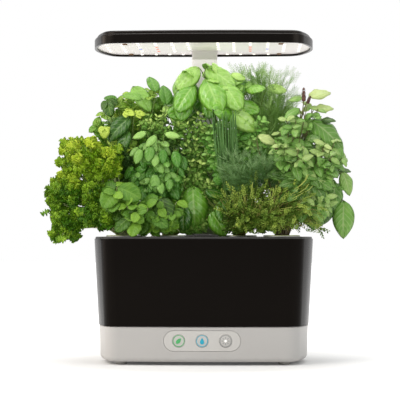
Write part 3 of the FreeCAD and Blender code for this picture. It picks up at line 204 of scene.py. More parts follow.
def ramp(
    tree: bpy.types.NodeTree, factor: bpy.types.NodeSocket, stops: list[tuple[float, str]]
) -> bpy.types.NodeSocket:
    """Adds a colour ramp.

    Args:
        tree: Tree that gets the node.
        factor: Socket that drives the ramp.
        stops: Position and hex colour of each stop, in order.

    Returns:
        The ramp's colour.
    """
    node = add_node(tree, "ShaderNodeValToRGB", None, {"Fac": factor})
    elements = node.color_ramp.elements
    while len(elements) < len(stops):
        elements.new(0.5)
    for element, (position, colour) in zip(elements, stops):
        element.position = position
        element.color = linear(colour)
    return node.outputs["Color"]


def mix(
    tree: bpy.types.NodeTree, factor: object, first: object, second: object, blend: str = "MIX"
) -> bpy.types.NodeSocket:
    """Mixes two colours and returns the result's socket."""
    given = {0: factor, 6: first, 7: second}
    return add_node(tree, "ShaderNodeMix", {"data_type": "RGBA", "blend_type": blend}, given).outputs[2]


def new_material(name: str) -> tuple[bpy.types.Material, bpy.types.NodeTree, bpy.types.Node]:
    """Makes a material and returns it with its tree and its Principled node."""
    material = bpy.data.materials.new(name)
    material.use_nodes = True
    tree = material.node_tree
    return material, tree, tree.nodes["Principled BSDF"]


def link_mesh(
    name: str, mesh: bpy.types.Mesh, material: bpy.types.Material | None = None
) -> bpy.types.Object:
    """Makes a shown object from a mesh and gives it its material."""
    item = bpy.data.objects.new(name, mesh)
    bpy.context.scene.collection.objects.link(item)
    if material is not None:
        mesh.materials.clear()
        mesh.materials.append(material)
    return item


def mesh_from(name: str, build: bmesh.types.BMesh, smooth: bool = True) -> bpy.types.Mesh:
    """Turns a bmesh into a mesh with its normals outwards, and frees the bmesh."""
    bmesh.ops.recalc_face_normals(build, faces=build.faces)
    mesh = bpy.data.meshes.new(name)
    build.to_mesh(mesh)
    build.free()
    for polygon in mesh.polygons:
        polygon.use_smooth = smooth
    return mesh


def flatten(item: bpy.types.Object) -> None:
    """Turns an object's modifiers into plain mesh."""
    bpy.context.view_layer.update()
    graph = bpy.context.evaluated_depsgraph_get()
    mesh = bpy.data.meshes.new_from_object(
        item.evaluated_get(graph), preserve_all_data_layers=True, depsgraph=graph
    )
    item.modifiers.clear()
    item.data = mesh


def join_loops(build: bmesh.types.BMesh, loops: list[list[bmesh.types.BMVert]]) -> None:
    """Joins each loop of vertices to the next one with a band of faces."""
    for first, second in zip(loops, loops[1:]):
        for k in range(len(first)):
            after = (k + 1) % len(first)
            build.faces.new((first[k], first[after], second[after], second[k]))


def on_circle(radius: float, k: int, steps: int) -> tuple[float, float]:
    """Point number k of a circle that is cut into steps."""
    return radius * math.cos(math.tau * k / steps), radius * math.sin(math.tau * k / steps)


def dress(nodes: tuple[str, ...], material: bpy.types.Material) -> None:
    """Gives CAD nodes a finish."""
    for name in nodes:
        item = frame["nodes"][name]
        item.data.materials.clear()
        item.data.materials.append(material)
        LOG.info("dressed %s in %s", name, material.name)


def place(item: bpy.types.Object, body: str, slot: str, *nodes: str) -> None:
    """Rides a finished piece on its body and hides the CAD nodes that it replaces.

    Args:
        item: The piece, at the origin.
        body: CAD body that carries it.
        slot: Slot of the record that its finish comes from; not used.
        nodes: CAD nodes that it replaces.
    """
    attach(item, body)
    if nodes:
        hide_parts(*nodes)
    LOG.info("piece %s: %d faces, rides on %s", item.name, len(item.data.polygons), body)


@dataclass(frozen=True)
class MouldedPlastic:
    """Injection-moulded plastic with a fine spark-eroded grain.

    The grain breaks up the highlight, and a slow mottle keeps wide faces from looking flat.
    """

    name: str
    colour: str
    mottle: str
    roughness: float = 0.45
    grain_mm: float = 0.8
    grain: float = 0.12
    specular: float = 0.5
    edge_tint: str = "#ffffff"
    # glow: painted light, an emission in the plastic's own colour
    glow: float = 0.0

    def material(self) -> bpy.types.Material:
        """Builds the material."""
        material, tree, shader = new_material(self.name)
        at = object_place(tree)
        slow = noise(tree, at, MOTTLE_MM, 3.0)
        fine = noise(tree, at, self.grain_mm)
        feed(tree, shader, {
            "Base Color": mix(tree, slow, linear(self.colour), linear(self.mottle)),
            "Roughness": span(tree, fine, self.roughness - 0.05, self.roughness + 0.05),
            "Normal": relief(tree, fine, self.grain, 0.05),
            "Specular IOR Level": self.specular,
            "Specular Tint": linear(self.edge_tint),
            "Emission Color": linear(self.colour),
            "Emission Strength": self.glow,
        })
        return material


@dataclass(frozen=True)
class WorkedMetal:
    """Metal with fine drawn or turned lines, stretched along one axis."""

    name: str
    colour: str
    shade: str
    roughness: float = 0.35
    line_mm: float = 0.3
    stretch: tuple[float, float, float] = (1.0, 1.0, 0.05)

    def material(self) -> bpy.types.Material:
        """Builds the material."""
        material, tree, shader = new_material(self.name)
        lines = noise(tree, stretched(tree, object_place(tree), self.stretch), self.line_mm)
        feed(tree, shader, {
            "Base Color": mix(tree, lines, linear(self.colour), linear(self.shade)),
            "Normal": relief(tree, lines, 0.15, 0.03),
            "Metallic": 1.0,
            "Roughness": self.roughness,
        })
        return material


@dataclass(frozen=True)
class OpenFoam:
    """Damp growing or filter foam: paler walls, with painted shade darkening the pores between them."""

    name: str
    wall: str
    pore_shade: str
    cell_mm: float = 1.6

    def material(self) -> bpy.types.Material:
        """Builds the material."""
        material, tree, shader = new_material(self.name)
        given = {"Vector": object_place(tree), "Scale": 1 / (self.cell_mm * MM)}
        cells = add_node(tree, "ShaderNodeTexVoronoi", None, given).outputs["Distance"]
        feed(tree, shader, {
            "Base Color": ramp(tree, cells, [(0.15, self.pore_shade), (0.6, self.wall)]),
            "Normal": relief(tree, cells, 0.8, 0.4),
            "Roughness": 0.95,
            "Specular IOR Level": 0.2,
        })
        return material


@dataclass(frozen=True)
class GlowingLens:
    """Moulded lamp lens over its phosphor or coloured chip, faintly lit."""

    name: str
    colour: str
    core: str
    glow: float

    def material(self) -> bpy.types.Material:
        """Builds the material."""
        material, tree, shader = new_material(self.name)
        speck = noise(tree, object_place(tree), 1.5)
        feed(tree, shader, {
            "Base Color": mix(tree, speck, linear(self.colour), linear(self.core)),
            "Emission Color": linear(self.core),
            "Emission Strength": self.glow,
            "Roughness": 0.3,
        })
        return material


@dataclass(frozen=True)
class LivingLeaf:
    """Leaf blade: waxy skin, a paler midrib and side veins, a shade for each leaf that is partly its own tone
    and partly painted light and shade, and a faint painted glow.
    """

    name: str
    dark: str
    middle: str
    light: str
    vein: str
    side_veins: float = 7.0
    vein_strength: float = 0.45
    roughness: float = 0.42
    # Painted glow: an emission in the leaf's own colour that lights it beyond the lamps
    glow: float = 0.1
    specular: float = 0.35

    def material(self) -> bpy.types.Material:
        """Builds the material from the blade's own coordinates and its attribute of tone and painted light.
        """
        material, tree, shader = new_material(self.name)
        blade = add_node(tree, "ShaderNodeAttribute", {"attribute_name": "blade"}).outputs["Vector"]
        tint = add_node(tree, "ShaderNodeAttribute", {"attribute_name": "tint"}).outputs["Fac"]
        split = add_node(tree, "ShaderNodeSeparateXYZ", None, {"Vector": blade})
        shift = span(tree, noise(tree, object_place(tree), 7, 3.0), -0.18, 0.18)
        # Shade: the leaf's own random tone plus painted light and shade, set per leaf from where it sits
        shade = calc(tree, "ADD", tint, shift)
        skin = ramp(tree, shade, [(0.0, self.dark), (0.5, self.middle), (1.0, self.light)])
        across = calc(tree, "ABSOLUTE", split.outputs["X"])
        midrib = span(tree, across, 1.0, 0.0, 0.03, 0.1)
        slope = calc(tree, "MULTIPLY_ADD", across, -0.3, split.outputs["Y"])
        wave = calc(tree, "COSINE", calc(tree, "MULTIPLY", slope, self.side_veins * math.tau))
        veins = calc(tree, "MAXIMUM", midrib, span(tree, wave, 0.0, 0.7, 0.75, 1.0))
        colour = mix(tree, calc(tree, "MULTIPLY", veins, self.vein_strength), skin, linear(self.vein))
        feed(tree, shader, {
            "Base Color": colour,
            "Emission Color": colour,
            "Emission Strength": self.glow,
            "Normal": relief(tree, wave, 0.25, 0.5),
            "Roughness": self.roughness,
            "Specular IOR Level": self.specular,
        })
        return material


@dataclass(frozen=True)
class GreenStem:
    """Stem skin: fine lengthwise fibres, paler towards the foot."""

    name: str
    low: str
    high: str

    def material(self) -> bpy.types.Material:
        """Builds the material."""
        material, tree, shader = new_material(self.name)
        at = object_place(tree)
        height = add_node(tree, "ShaderNodeSeparateXYZ", None, {"Vector": at}).outputs["Z"]
        rise = span(tree, height, 0.0, 1.0, DECK_FACE, DECK_FACE + 90 * MM)
        fibre = noise(tree, stretched(tree, at, (1.0, 1.0, 0.08)), 0.6)
        base = mix(tree, rise, linear(self.low), linear(self.high))
        feed(tree, shader, {
            "Base Color": mix(tree, 1.0, base, span(tree, fibre, 0.75, 1.15), "MULTIPLY"),
            "Roughness": 0.5,
        })
        return material


def plastic(*values: object, **more: object) -> bpy.types.Material:
    """Material of a moulded plastic, from the plastic's own values."""
    return MouldedPlastic(*values, **more).material()


def leaf(*values: object, **more: object) -> bpy.types.Material:
    """Material of a living leaf, from the leaf's own values."""
    return LivingLeaf(*values, **more).material()


class Palette:
    """All finishes of the hardware, each made once."""

    def __init__(self) -> None:
        """Builds the materials."""
        # Moulded ABS: an even light grey with a satin sheen
        self.base_grey = plastic("Moulded ABS, light grey", "#bdbbb8", "#b7b5b2", 0.42)
        # Satin film-coated ABS: the panel is a touch lighter and smoother than the base
        self.panel_grey = plastic("Satin ABS panel, pale grey", "#cac8c4", "#c5c3bf", 0.34, 0.5, 0.05)
        # Gloss black ABS: black face-on, bright only where it turns away
        self.bowl_black = plastic(
            "Gloss ABS, black", "#0b0908", "#0d0b0a", 0.24, 0.7, 0.04, specular=0.045, edge_tint="#ffeedd"
        )
        # Satin black ABS: the hood's top shows soft, grey light
        self.hood_black = plastic(
            "Satin ABS, black", "#100e0d", "#13110f", 0.28, 0.7, 0.06, specular=0.14, edge_tint="#ffeedd"
        )
        # Spark-eroded ABS: the deck stays dull and charcoal under the leaves
        self.deck_black = plastic("Textured ABS, charcoal", "#262523", "#2e2d2a", 0.5, 0.6, 0.25)
        # Painted tubes: smooth warm grey with a soft highlight down each edge
        self.arm_grey = plastic("Painted arm tube, warm grey", "#c3c0ba", "#bcb8b1", 0.36, 0.5, 0.08)
        # Painted tube just under the lamp: a lamp-lit copy of the warm grey tube, paler and with a painted
        # glow standing in for the lamp's light on its face
        self.arm_lamp_lit = plastic(
            "Painted arm tube, pale grey", "#dcd6d6", "#d6d0d0", 0.36, 0.5, 0.08, glow=0.14
        )
        # Polypropylene: milky white baskets and impeller
        self.pod_white = plastic("Moulded polypropylene, white", "#dededa", "#d4d4cf", 0.4)
        # Silicone: a cool, milky tube
        self.tube_clear = plastic("Silicone tube, milky", "#cdd3d2", "#bfc6c5", 0.3, 1.5, 0.05)
        # Glass-filled nylon: near black, dull, with a visible grain
        self.pump_dark = plastic("Glass-filled nylon, dark", "#1b1b1d", "#232326", 0.5, 0.5, 0.2)
        # Rubber: pale grey feet without a highlight
        self.rubber = plastic("Moulded rubber, pale grey", "#b9b7b3", "#adaba7", 0.7, 0.5, 0.3, specular=0.3)
        # Epoxy: matt black switches and parts on the boards
        self.component = plastic("Moulded epoxy, black", "#18181a", "#222225", 0.55, 0.4, 0.15)
        # Green solder mask: deep green, rather shiny
        self.circuit = plastic("Solder mask, green", "#14502c", "#0f4526", 0.3, 2.0, 0.1)
        # White solder mask: very pale, softly reflecting, with a painted glow standing in for the light of
        # its own lamps
        self.mask_white_painted_glow = plastic("Solder mask, white", "#f2e9ea", "#ece3e4", 0.38, 1.2, 0.05, glow=0.09)
        # PVC: a dull mid-grey jacket
        self.lead = plastic("PVC lead jacket, grey", "#aaa8a4", "#a09e9a", 0.55)
        # Coated paper: the pale yellow-green rings around the stems
        self.label = plastic("Coated paper, pale green", "#cfd98f", "#c3cf80", 0.5, 0.4, 0.1)
        # Zinc plate: bluish silver with fine turning marks
        self.steel = WorkedMetal("Zinc-plated steel", "#b8b8b6", "#8e8e8c").material()
        # Dulled brass: brown heads in the white board
        self.screw_brass = WorkedMetal("Dulled brass screws", "#8a6a4a", "#5f452e", 0.45).material()
        # Gold plate: bright yellow contacts
        self.contact_brass = WorkedMetal("Gold-plated brass", "#d9b566", "#b3904a", 0.25).material()
        # Rolled sheet: silver with long lines across the hood
        self.aluminium = WorkedMetal(
            "Rolled aluminium sheet", "#c9cacc", "#aeb0b3", 0.4, 0.4, (1.0, 0.05, 1.0)
        ).material()
        # Ceramic: a clean, glassy off-white shaft
        self.ceramic = plastic("Ground ceramic", "#dcdcd8", "#d2d2cd", 0.2, 0.3, 0.05)
        # Ferrite: dark, slightly blue and rough
        self.ferrite = plastic("Sintered ferrite", "#26262a", "#313136", 0.6, 0.4, 0.3)
        # Foams: paler walls, with painted shade darkening the pores between them
        self.sponge = OpenFoam("Peat foam, brown", "#5a4230", "#2b1d13").material()
        self.filter = OpenFoam("Filter foam, black", "#26262a", "#0b0b0c", 1.2).material()
        # Lamp lenses: white ones burn out to white, coloured ones stay soft
        self.led_white = GlowingLens("Phosphor lens, white", "#fffdf8", "#fffaf0", 1.1).material()
        self.led_red = GlowingLens("Red lamp lens", "#f3b9ac", "#ea7a68", 0.5).material()
        self.led_blue = GlowingLens("Blue lamp lens", "#c3c8f0", "#8f9ce6", 0.5).material()
        # Inks: clear colours on the keys, lit a little from behind
        self.ink_green = GlowingLens("Backlit ink, green", "#43a35c", "#4bab66", 0.12).material()
        self.ink_teal = GlowingLens("Backlit ink, teal", "#0e97b0", "#16a0ba", 0.12).material()
        self.ink_grey = GlowingLens("Backlit ink, grey", "#8f908f", "#969796", 0.04).material()
        self.ink_white = GlowingLens("Backlit ink, white", "#f2f2f0", "#f7f7f5", 0.2).material()


def modifier_input(item: bpy.types.Object, tree: bpy.types.NodeTree, values: dict) -> None:
    """Adds a tree to an object as its modifier and sets the inputs by identifier.

    Args:
        item: Object that gets the modifier.
        tree: Geometry tree.
        values: Input name to value.
    """
    modifier = item.modifiers.new(tree.name, "NODES")
    modifier.node_group = tree
    for socket in tree.interface.items_tree:
        if socket.item_type == "SOCKET" and socket.in_out == "INPUT" and socket.name in values:
            modifier[socket.identifier] = values[socket.name]


def geometry_tree(name: str, inputs: dict[str, str]) -> tuple[
    bpy.types.NodeTree, bpy.types.Node, bpy.types.Node
]:
    """Makes an empty geometry tree.

    Args:
        name: Name of the tree.
        inputs: Input name to socket type.

    Returns:
        The tree, its group input and its group output.
    """
    tree = bpy.data.node_groups.new(name, "GeometryNodeTree")
    tree.interface.new_socket("Geometry", in_out="INPUT", socket_type="NodeSocketGeometry")
    for title, kind in inputs.items():
        tree.interface.new_socket(title, in_out="INPUT", socket_type=kind)
    tree.interface.new_socket("Geometry", in_out="OUTPUT", socket_type="NodeSocketGeometry")
    return tree, add_node(tree, "NodeGroupInput"), add_node(tree, "NodeGroupOutput")


def close_tree(
    tree: bpy.types.NodeTree, given: bpy.types.Node, out: bpy.types.Node, geometry: bpy.types.NodeSocket
) -> bpy.types.NodeTree:
    """Ends a geometry tree: makes its copies real and gives them the finish of its input."""
    real = add_node(tree, "GeometryNodeRealizeInstances", None, {"Geometry": geometry})
    dressed = {"Geometry": real.outputs["Geometry"], "Material": given.outputs["Finish"]}
    finish = add_node(tree, "GeometryNodeSetMaterial", None, dressed)
    tree.links.new(finish.outputs["Geometry"], out.inputs["Geometry"])
    return tree


def point_value(tree: bpy.types.NodeTree, name: str, kind: str) -> bpy.types.NodeSocket:
    """Reads a named value or vector of each point."""
    return add_node(
        tree, "GeometryNodeInputNamedAttribute", {"data_type": kind}, {"Name": name}
    ).outputs["Attribute"]


def setting_tree() -> bpy.types.NodeTree:
    """Tree that sets a form on each point, turned and sized by the point's own values."""
    inputs = {"Form": "NodeSocketObject", "Finish": "NodeSocketMaterial"}
    tree, given, out = geometry_tree("Set a form on each point", inputs)
    form = add_node(tree, "GeometryNodeObjectInfo", None, {"Object": given.outputs["Form"]})
    forms = add_node(tree, "GeometryNodeInstanceOnPoints", None, {
        "Points": given.outputs["Geometry"],
        "Instance": form.outputs["Geometry"],
        "Rotation": point_value(tree, "turn", "FLOAT_VECTOR"),
        "Scale": point_value(tree, "size", "FLOAT"),
    })
    return close_tree(tree, given, out, forms.outputs["Instances"])


def stem_tree() -> bpy.types.NodeTree:
    """Tree that turns polylines into round stems, each point with its own thickness."""
    inputs = {"Sides": "NodeSocketInt", "Finish": "NodeSocketMaterial"}
    tree, given, out = geometry_tree("Round stems along lines", inputs)
    lines = add_node(tree, "GeometryNodeMeshToCurve", None, {"Mesh": given.outputs["Geometry"]})
    circle = {"Resolution": given.outputs["Sides"], "Radius": 1.0}
    ring = add_node(tree, "GeometryNodeCurvePrimitiveCircle", None, circle)
    body = add_node(tree, "GeometryNodeCurveToMesh", None, {
        "Curve": lines.outputs["Curve"],
        "Profile Curve": ring.outputs["Curve"],
        "Scale": point_value(tree, "thickness", "FLOAT"),
        "Fill Caps": True,
    })
    smooth = add_node(tree, "GeometryNodeSetShadeSmooth", None, {"Geometry": body.outputs["Mesh"]})
    return close_tree(tree, given, out, smooth.outputs["Geometry"])


@dataclass
class Seat:
    """Place of one repeated form: where, how turned, how large, and its shade of own tone and painted light.
    """

    place: Vector
    turn: tuple[float, float, float]
    size: float
    tint: float = 0.5


def store(mesh: bpy.types.Mesh, name: str, kind: str, part: str, values: list[float]) -> None:
    """Writes one value or vector to each point of a mesh, as a named attribute."""
    mesh.attributes.new(name, kind, "POINT").data.foreach_set(part, values)


def set_forms(
    name: str, seats: list[Seat], form: bpy.types.Object, finish: bpy.types.Material, tree: bpy.types.NodeTree
) -> bpy.types.Object:
    """Sets one form on every seat and returns the plain mesh object.

    Args:
        name: Name of the new piece.
        seats: Places of the forms.
        form: Template object, hidden.
        finish: Material of the piece.
        tree: Tree made by setting_tree.

    Returns:
        The finished object.
    """
    mesh = bpy.data.meshes.new(name)
    mesh.from_pydata([seat.place for seat in seats], [], [])
    store(mesh, "turn", "FLOAT_VECTOR", "vector", [part for seat in seats for part in seat.turn])
    store(mesh, "size", "FLOAT", "value", [seat.size for seat in seats])
    store(mesh, "tint", "FLOAT", "value", [seat.tint for seat in seats])
    item = link_mesh(name, mesh)
    modifier_input(item, tree, {"Form": form, "Finish": finish})
    flatten(item)
    return item


def set_stems(
    name: str, lines: list[list[tuple[Vector, float]]], finish: bpy.types.Material, tree: bpy.types.NodeTree,
    sides: int = 6
) -> bpy.types.Object:
    """Makes stems along lines of points and radii and returns the plain mesh object."""
    points, edges, radii = [], [], []
    for line in lines:
        start = len(points)
        for place_at, radius in line:
            points.append(place_at)
            radii.append(radius)
        edges.extend((start + k, start + k + 1) for k in range(len(line) - 1))
    mesh = bpy.data.meshes.new(name)
    mesh.from_pydata(points, edges, [])
    store(mesh, "thickness", "FLOAT", "value", radii)
    item = link_mesh(name, mesh)
    modifier_input(item, tree, {"Sides": sides, "Finish": finish})
    flatten(item)
    return item


@dataclass(frozen=True)
class Blade:
    """One leaf blade, one unit long, from its stalk at the origin along +X, its upper face up."""

    width: float
    widest: float = 0.42
    round_off: float = 0.8
    cup: float = 0.35
    droop: float = 0.6
    ruffle: float = 0.0
    waves: float = 3.0
    teeth: int = 0
    tooth: float = 0.0
    blister: float = 0.02
    dome: float = 0.0
    veins: float = 6.0
    rows: int = 10
    columns: int = 6
    thickness: float = 0.02

    def point(self, along: float, across: float) -> Vector:
        """Place on the blade at a share along it and a share across it, -1 to 1."""
        power = math.log(0.5) / math.log(self.widest)
        half = self.width / 2 * math.sin(math.pi * min(along, 0.9999) ** power) ** self.round_off
        if self.teeth:
            half *= 1 + self.tooth * ((along * self.teeth) % 1.0 - 0.5) * (1 if along < 0.96 else 0)
        bend = self.droop * along
        x = math.sin(bend) / self.droop
        z = -(1 - math.cos(bend)) / self.droop
        side = abs(across)
        y = across * half * math.cos(self.cup * side)
        z += side * half * math.sin(self.cup) - self.dome * half * side**2
        z += self.blister * abs(math.sin(math.pi * self.veins * (along - 0.3 * side))) * 4 * side * (1 - side)
        sign = 1 if across > 0 else 0.7
        z += self.ruffle * side**2 * math.sin(math.tau * self.waves * along * sign + sign) * min(1, along * 4)
        return Vector((x, y, z))

    def add_to(self, build: bmesh.types.BMesh, matrix: Matrix) -> None:
        """Adds the closed blade to a bmesh, placed by a matrix, with its blade coordinates."""
        layer = build.verts.layers.float_vector.get("blade") or build.verts.layers.float_vector.new("blade")
        top, under = [], []
        for i in range(self.rows + 1):
            along = i / self.rows
            upper_row, lower_row = [], []
            for j in range(self.columns + 1):
                across = 2 * j / self.columns - 1
                at = self.point(along, across)
                rim = i in (0, self.rows) or j in (0, self.columns)
                vert = build.verts.new(matrix @ at)
                vert[layer] = (across, along, 0)
                upper_row.append(vert)
                if rim:
                    lower_row.append(vert)
                else:
                    low = build.verts.new(matrix @ (at - Vector((0, 0, self.thickness))))
                    low[layer] = (across, along, 0)
                    lower_row.append(low)
            top.append(upper_row)
            under.append(lower_row)
        for i in range(self.rows):
            for j in range(self.columns):
                build.faces.new((top[i][j], top[i + 1][j], top[i + 1][j + 1], top[i][j + 1]))
                corner = (under[i][j], under[i][j + 1], under[i + 1][j + 1], under[i + 1][j])
                if len(set(corner) & set((top[i][j], top[i + 1][j], top[i + 1][j + 1], top[i][j + 1]))) < 4:
                    build.faces.new(corner)


def hidden_form(name: str, build: bmesh.types.BMesh) -> bpy.types.Object:
    """Makes a template object that is not shown itself."""
    bmesh.ops.remove_doubles(build, verts=build.verts, dist=1e-5)
    item = link_mesh(name, mesh_from(name, build))
    item.hide_render = True
    item.hide_viewport = True
    return item


def blade_form(name: str, blade: Blade) -> bpy.types.Object:
    """Template of one blade."""
    build = bmesh.new()
    blade.add_to(build, Matrix.Identity(4))
    return hidden_form(name, build)


def lobed_form(name: str, blade: Blade, lobes: tuple[tuple[float, float, float], ...]) -> bpy.types.Object:
    """Template of a leaf made of several lobes, each given by its start along X, heading and size."""
    build = bmesh.new()
    for start, heading, size in lobes:
        matrix = Matrix.Translation((start, 0, 0)) @ Matrix.Rotation(math.radians(heading), 4, "Z")
        blade.add_to(build, matrix @ Matrix.Scale(size, 4))
    return hidden_form(name, build)


def curled_form(name: str, rng: random.Random, spokes: int = 34, rings: int = 3) -> bpy.types.Object:
    """Template of one tightly curled parsley tuft, about one unit across."""
    build = bmesh.new()
    layer = build.verts.layers.float_vector.new("blade")
    rows = []
    for side in (0, 1):
        sheet = []
        for ring in range(rings + 1):
            share = ring / rings
            line = []
            for k in range(spokes):
                angle = math.tau * k / spokes
                flare = 0.5 * share**0.8 * (1 + 0.16 * math.sin(5 * angle) + 0.08 * rng.uniform(-1, 1))
                curl = (0.25 * share**1.5) * math.sin(
                    8 * angle + 2.5 * share
                ) + 0.07 * share * rng.uniform(-1, 1)
                lift = 0.30 * share * (1 - share) + curl
                height = lift - 0.03 * side * (1 - share)
                at = Vector((0.25 + flare * math.cos(angle), flare * math.sin(angle), height))
                line.append((at, (math.sin(5 * angle), share)))
            sheet.append(line)
        rows.append(sheet)
    rim = [build.verts.new(at) for at, _ in rows[0][rings]]
    for vert, (_, mark) in zip(rim, rows[0][rings]):
        vert[layer] = (mark[0], mark[1], 0)
    for side in (0, 1):
        rings_made = []
        for ring in range(1, rings):
            line = []
            for at, mark in rows[side][ring]:
                vert = build.verts.new(at)
                vert[layer] = (mark[0], mark[1], 0)
                line.append(vert)
            rings_made.append(line)
        rings_made.append(rim)
        centre = build.verts.new(rows[side][0][0][0])
        for k in range(spokes):
            after = (k + 1) % spokes
            build.faces.new((centre, rings_made[0][k], rings_made[0][after]))
            for inner, outer in zip(rings_made, rings_made[1:]):
                build.faces.new((inner[k], outer[k], outer[after], inner[after]))
    return hidden_form(name, build)


def thread(build: bmesh.types.BMesh, start: Vector, end: Vector, radius: float) -> None:
    """Adds one three-sided thread that runs to a point."""
    layer = build.verts.layers.float_vector.get("blade") or build.verts.layers.float_vector.new("blade")
    run = (end - start).normalized()
    side = run.orthogonal().normalized()
    other = run.cross(side)
    base = []
    for k in range(3):
        angle = math.tau * k / 3
        vert = build.verts.new(start + (side * math.cos(angle) + other * math.sin(angle)) * radius)
        vert[layer] = (0.5, 0, 0)
        base.append(vert)
    tip = build.verts.new(end)
    tip[layer] = (0.5, 1, 0)
    build.faces.new(base)
    for k in range(3):
        build.faces.new((base[k], base[(k + 1) % 3], tip))


def feather_form(name: str, rng: random.Random, nodes: int = 6) -> bpy.types.Object:
    """Template of one dill spray: a thin axis with branching threads, one unit long."""
    build = bmesh.new()
    thread(build, Vector((0, 0, 0)), Vector((1, 0, -0.05)), 0.016)
    for k in range(nodes):
        share = 0.12 + 0.8 * k / nodes
        root = Vector((share, 0, -0.05 * share))
        reach = 0.42 * (1 - share * 0.6)
        for sign in (-1, 1):
            heading = Vector((0.75, sign * 0.75, rng.uniform(-0.35, 0.35))).normalized()
            end = root + heading * reach
            thread(build, root, end, 0.011)
            for part in (0.4, 0.7):
                fork = root.lerp(end, part)
                sway = Vector((0.9, -sign * 0.3, rng.uniform(-0.5, 0.5))).normalized()
                thread(build, fork, fork + sway * reach * 0.45, 0.009)
    return hidden_form(name, build)


def sprig_form(name: str, blade: Blade, pairs: int, leaf: float) -> bpy.types.Object:
    """Template of one short sprig with pairs of small leaves, one unit long."""
    build = bmesh.new()
    thread(build, Vector((0, 0, 0)), Vector((1, 0, 0)), 0.02)
    for k in range(pairs):
        share = 0.1 + 0.85 * k / (pairs - 1)
        size = leaf * (1 - 0.45 * share)
        for half in (0, 1):
            roll = Matrix.Rotation(math.pi * half + math.pi / 2 * (k % 2), 4, "X")
            rise = Matrix.Rotation(math.radians(-52), 4, "Y")
            blade.add_to(build, Matrix.Translation((share, 0, 0)) @ roll @ rise @ Matrix.Scale(size, 4))
    return hidden_form(name, build)


class Growth(Enum):
    """How the leaves stand on a shoot."""

    PAIRS = "pairs"
    TUFTS = "tufts"
    BARE = "bare"


@dataclass(frozen=True)
class Clump:
    """Rounded mass that shoots end in: centre and half-sizes in mm, and the number of shoots."""

    x: float
    y: float
    z: float
    rx: float
    ry: float
    rz: float
    shoots: int


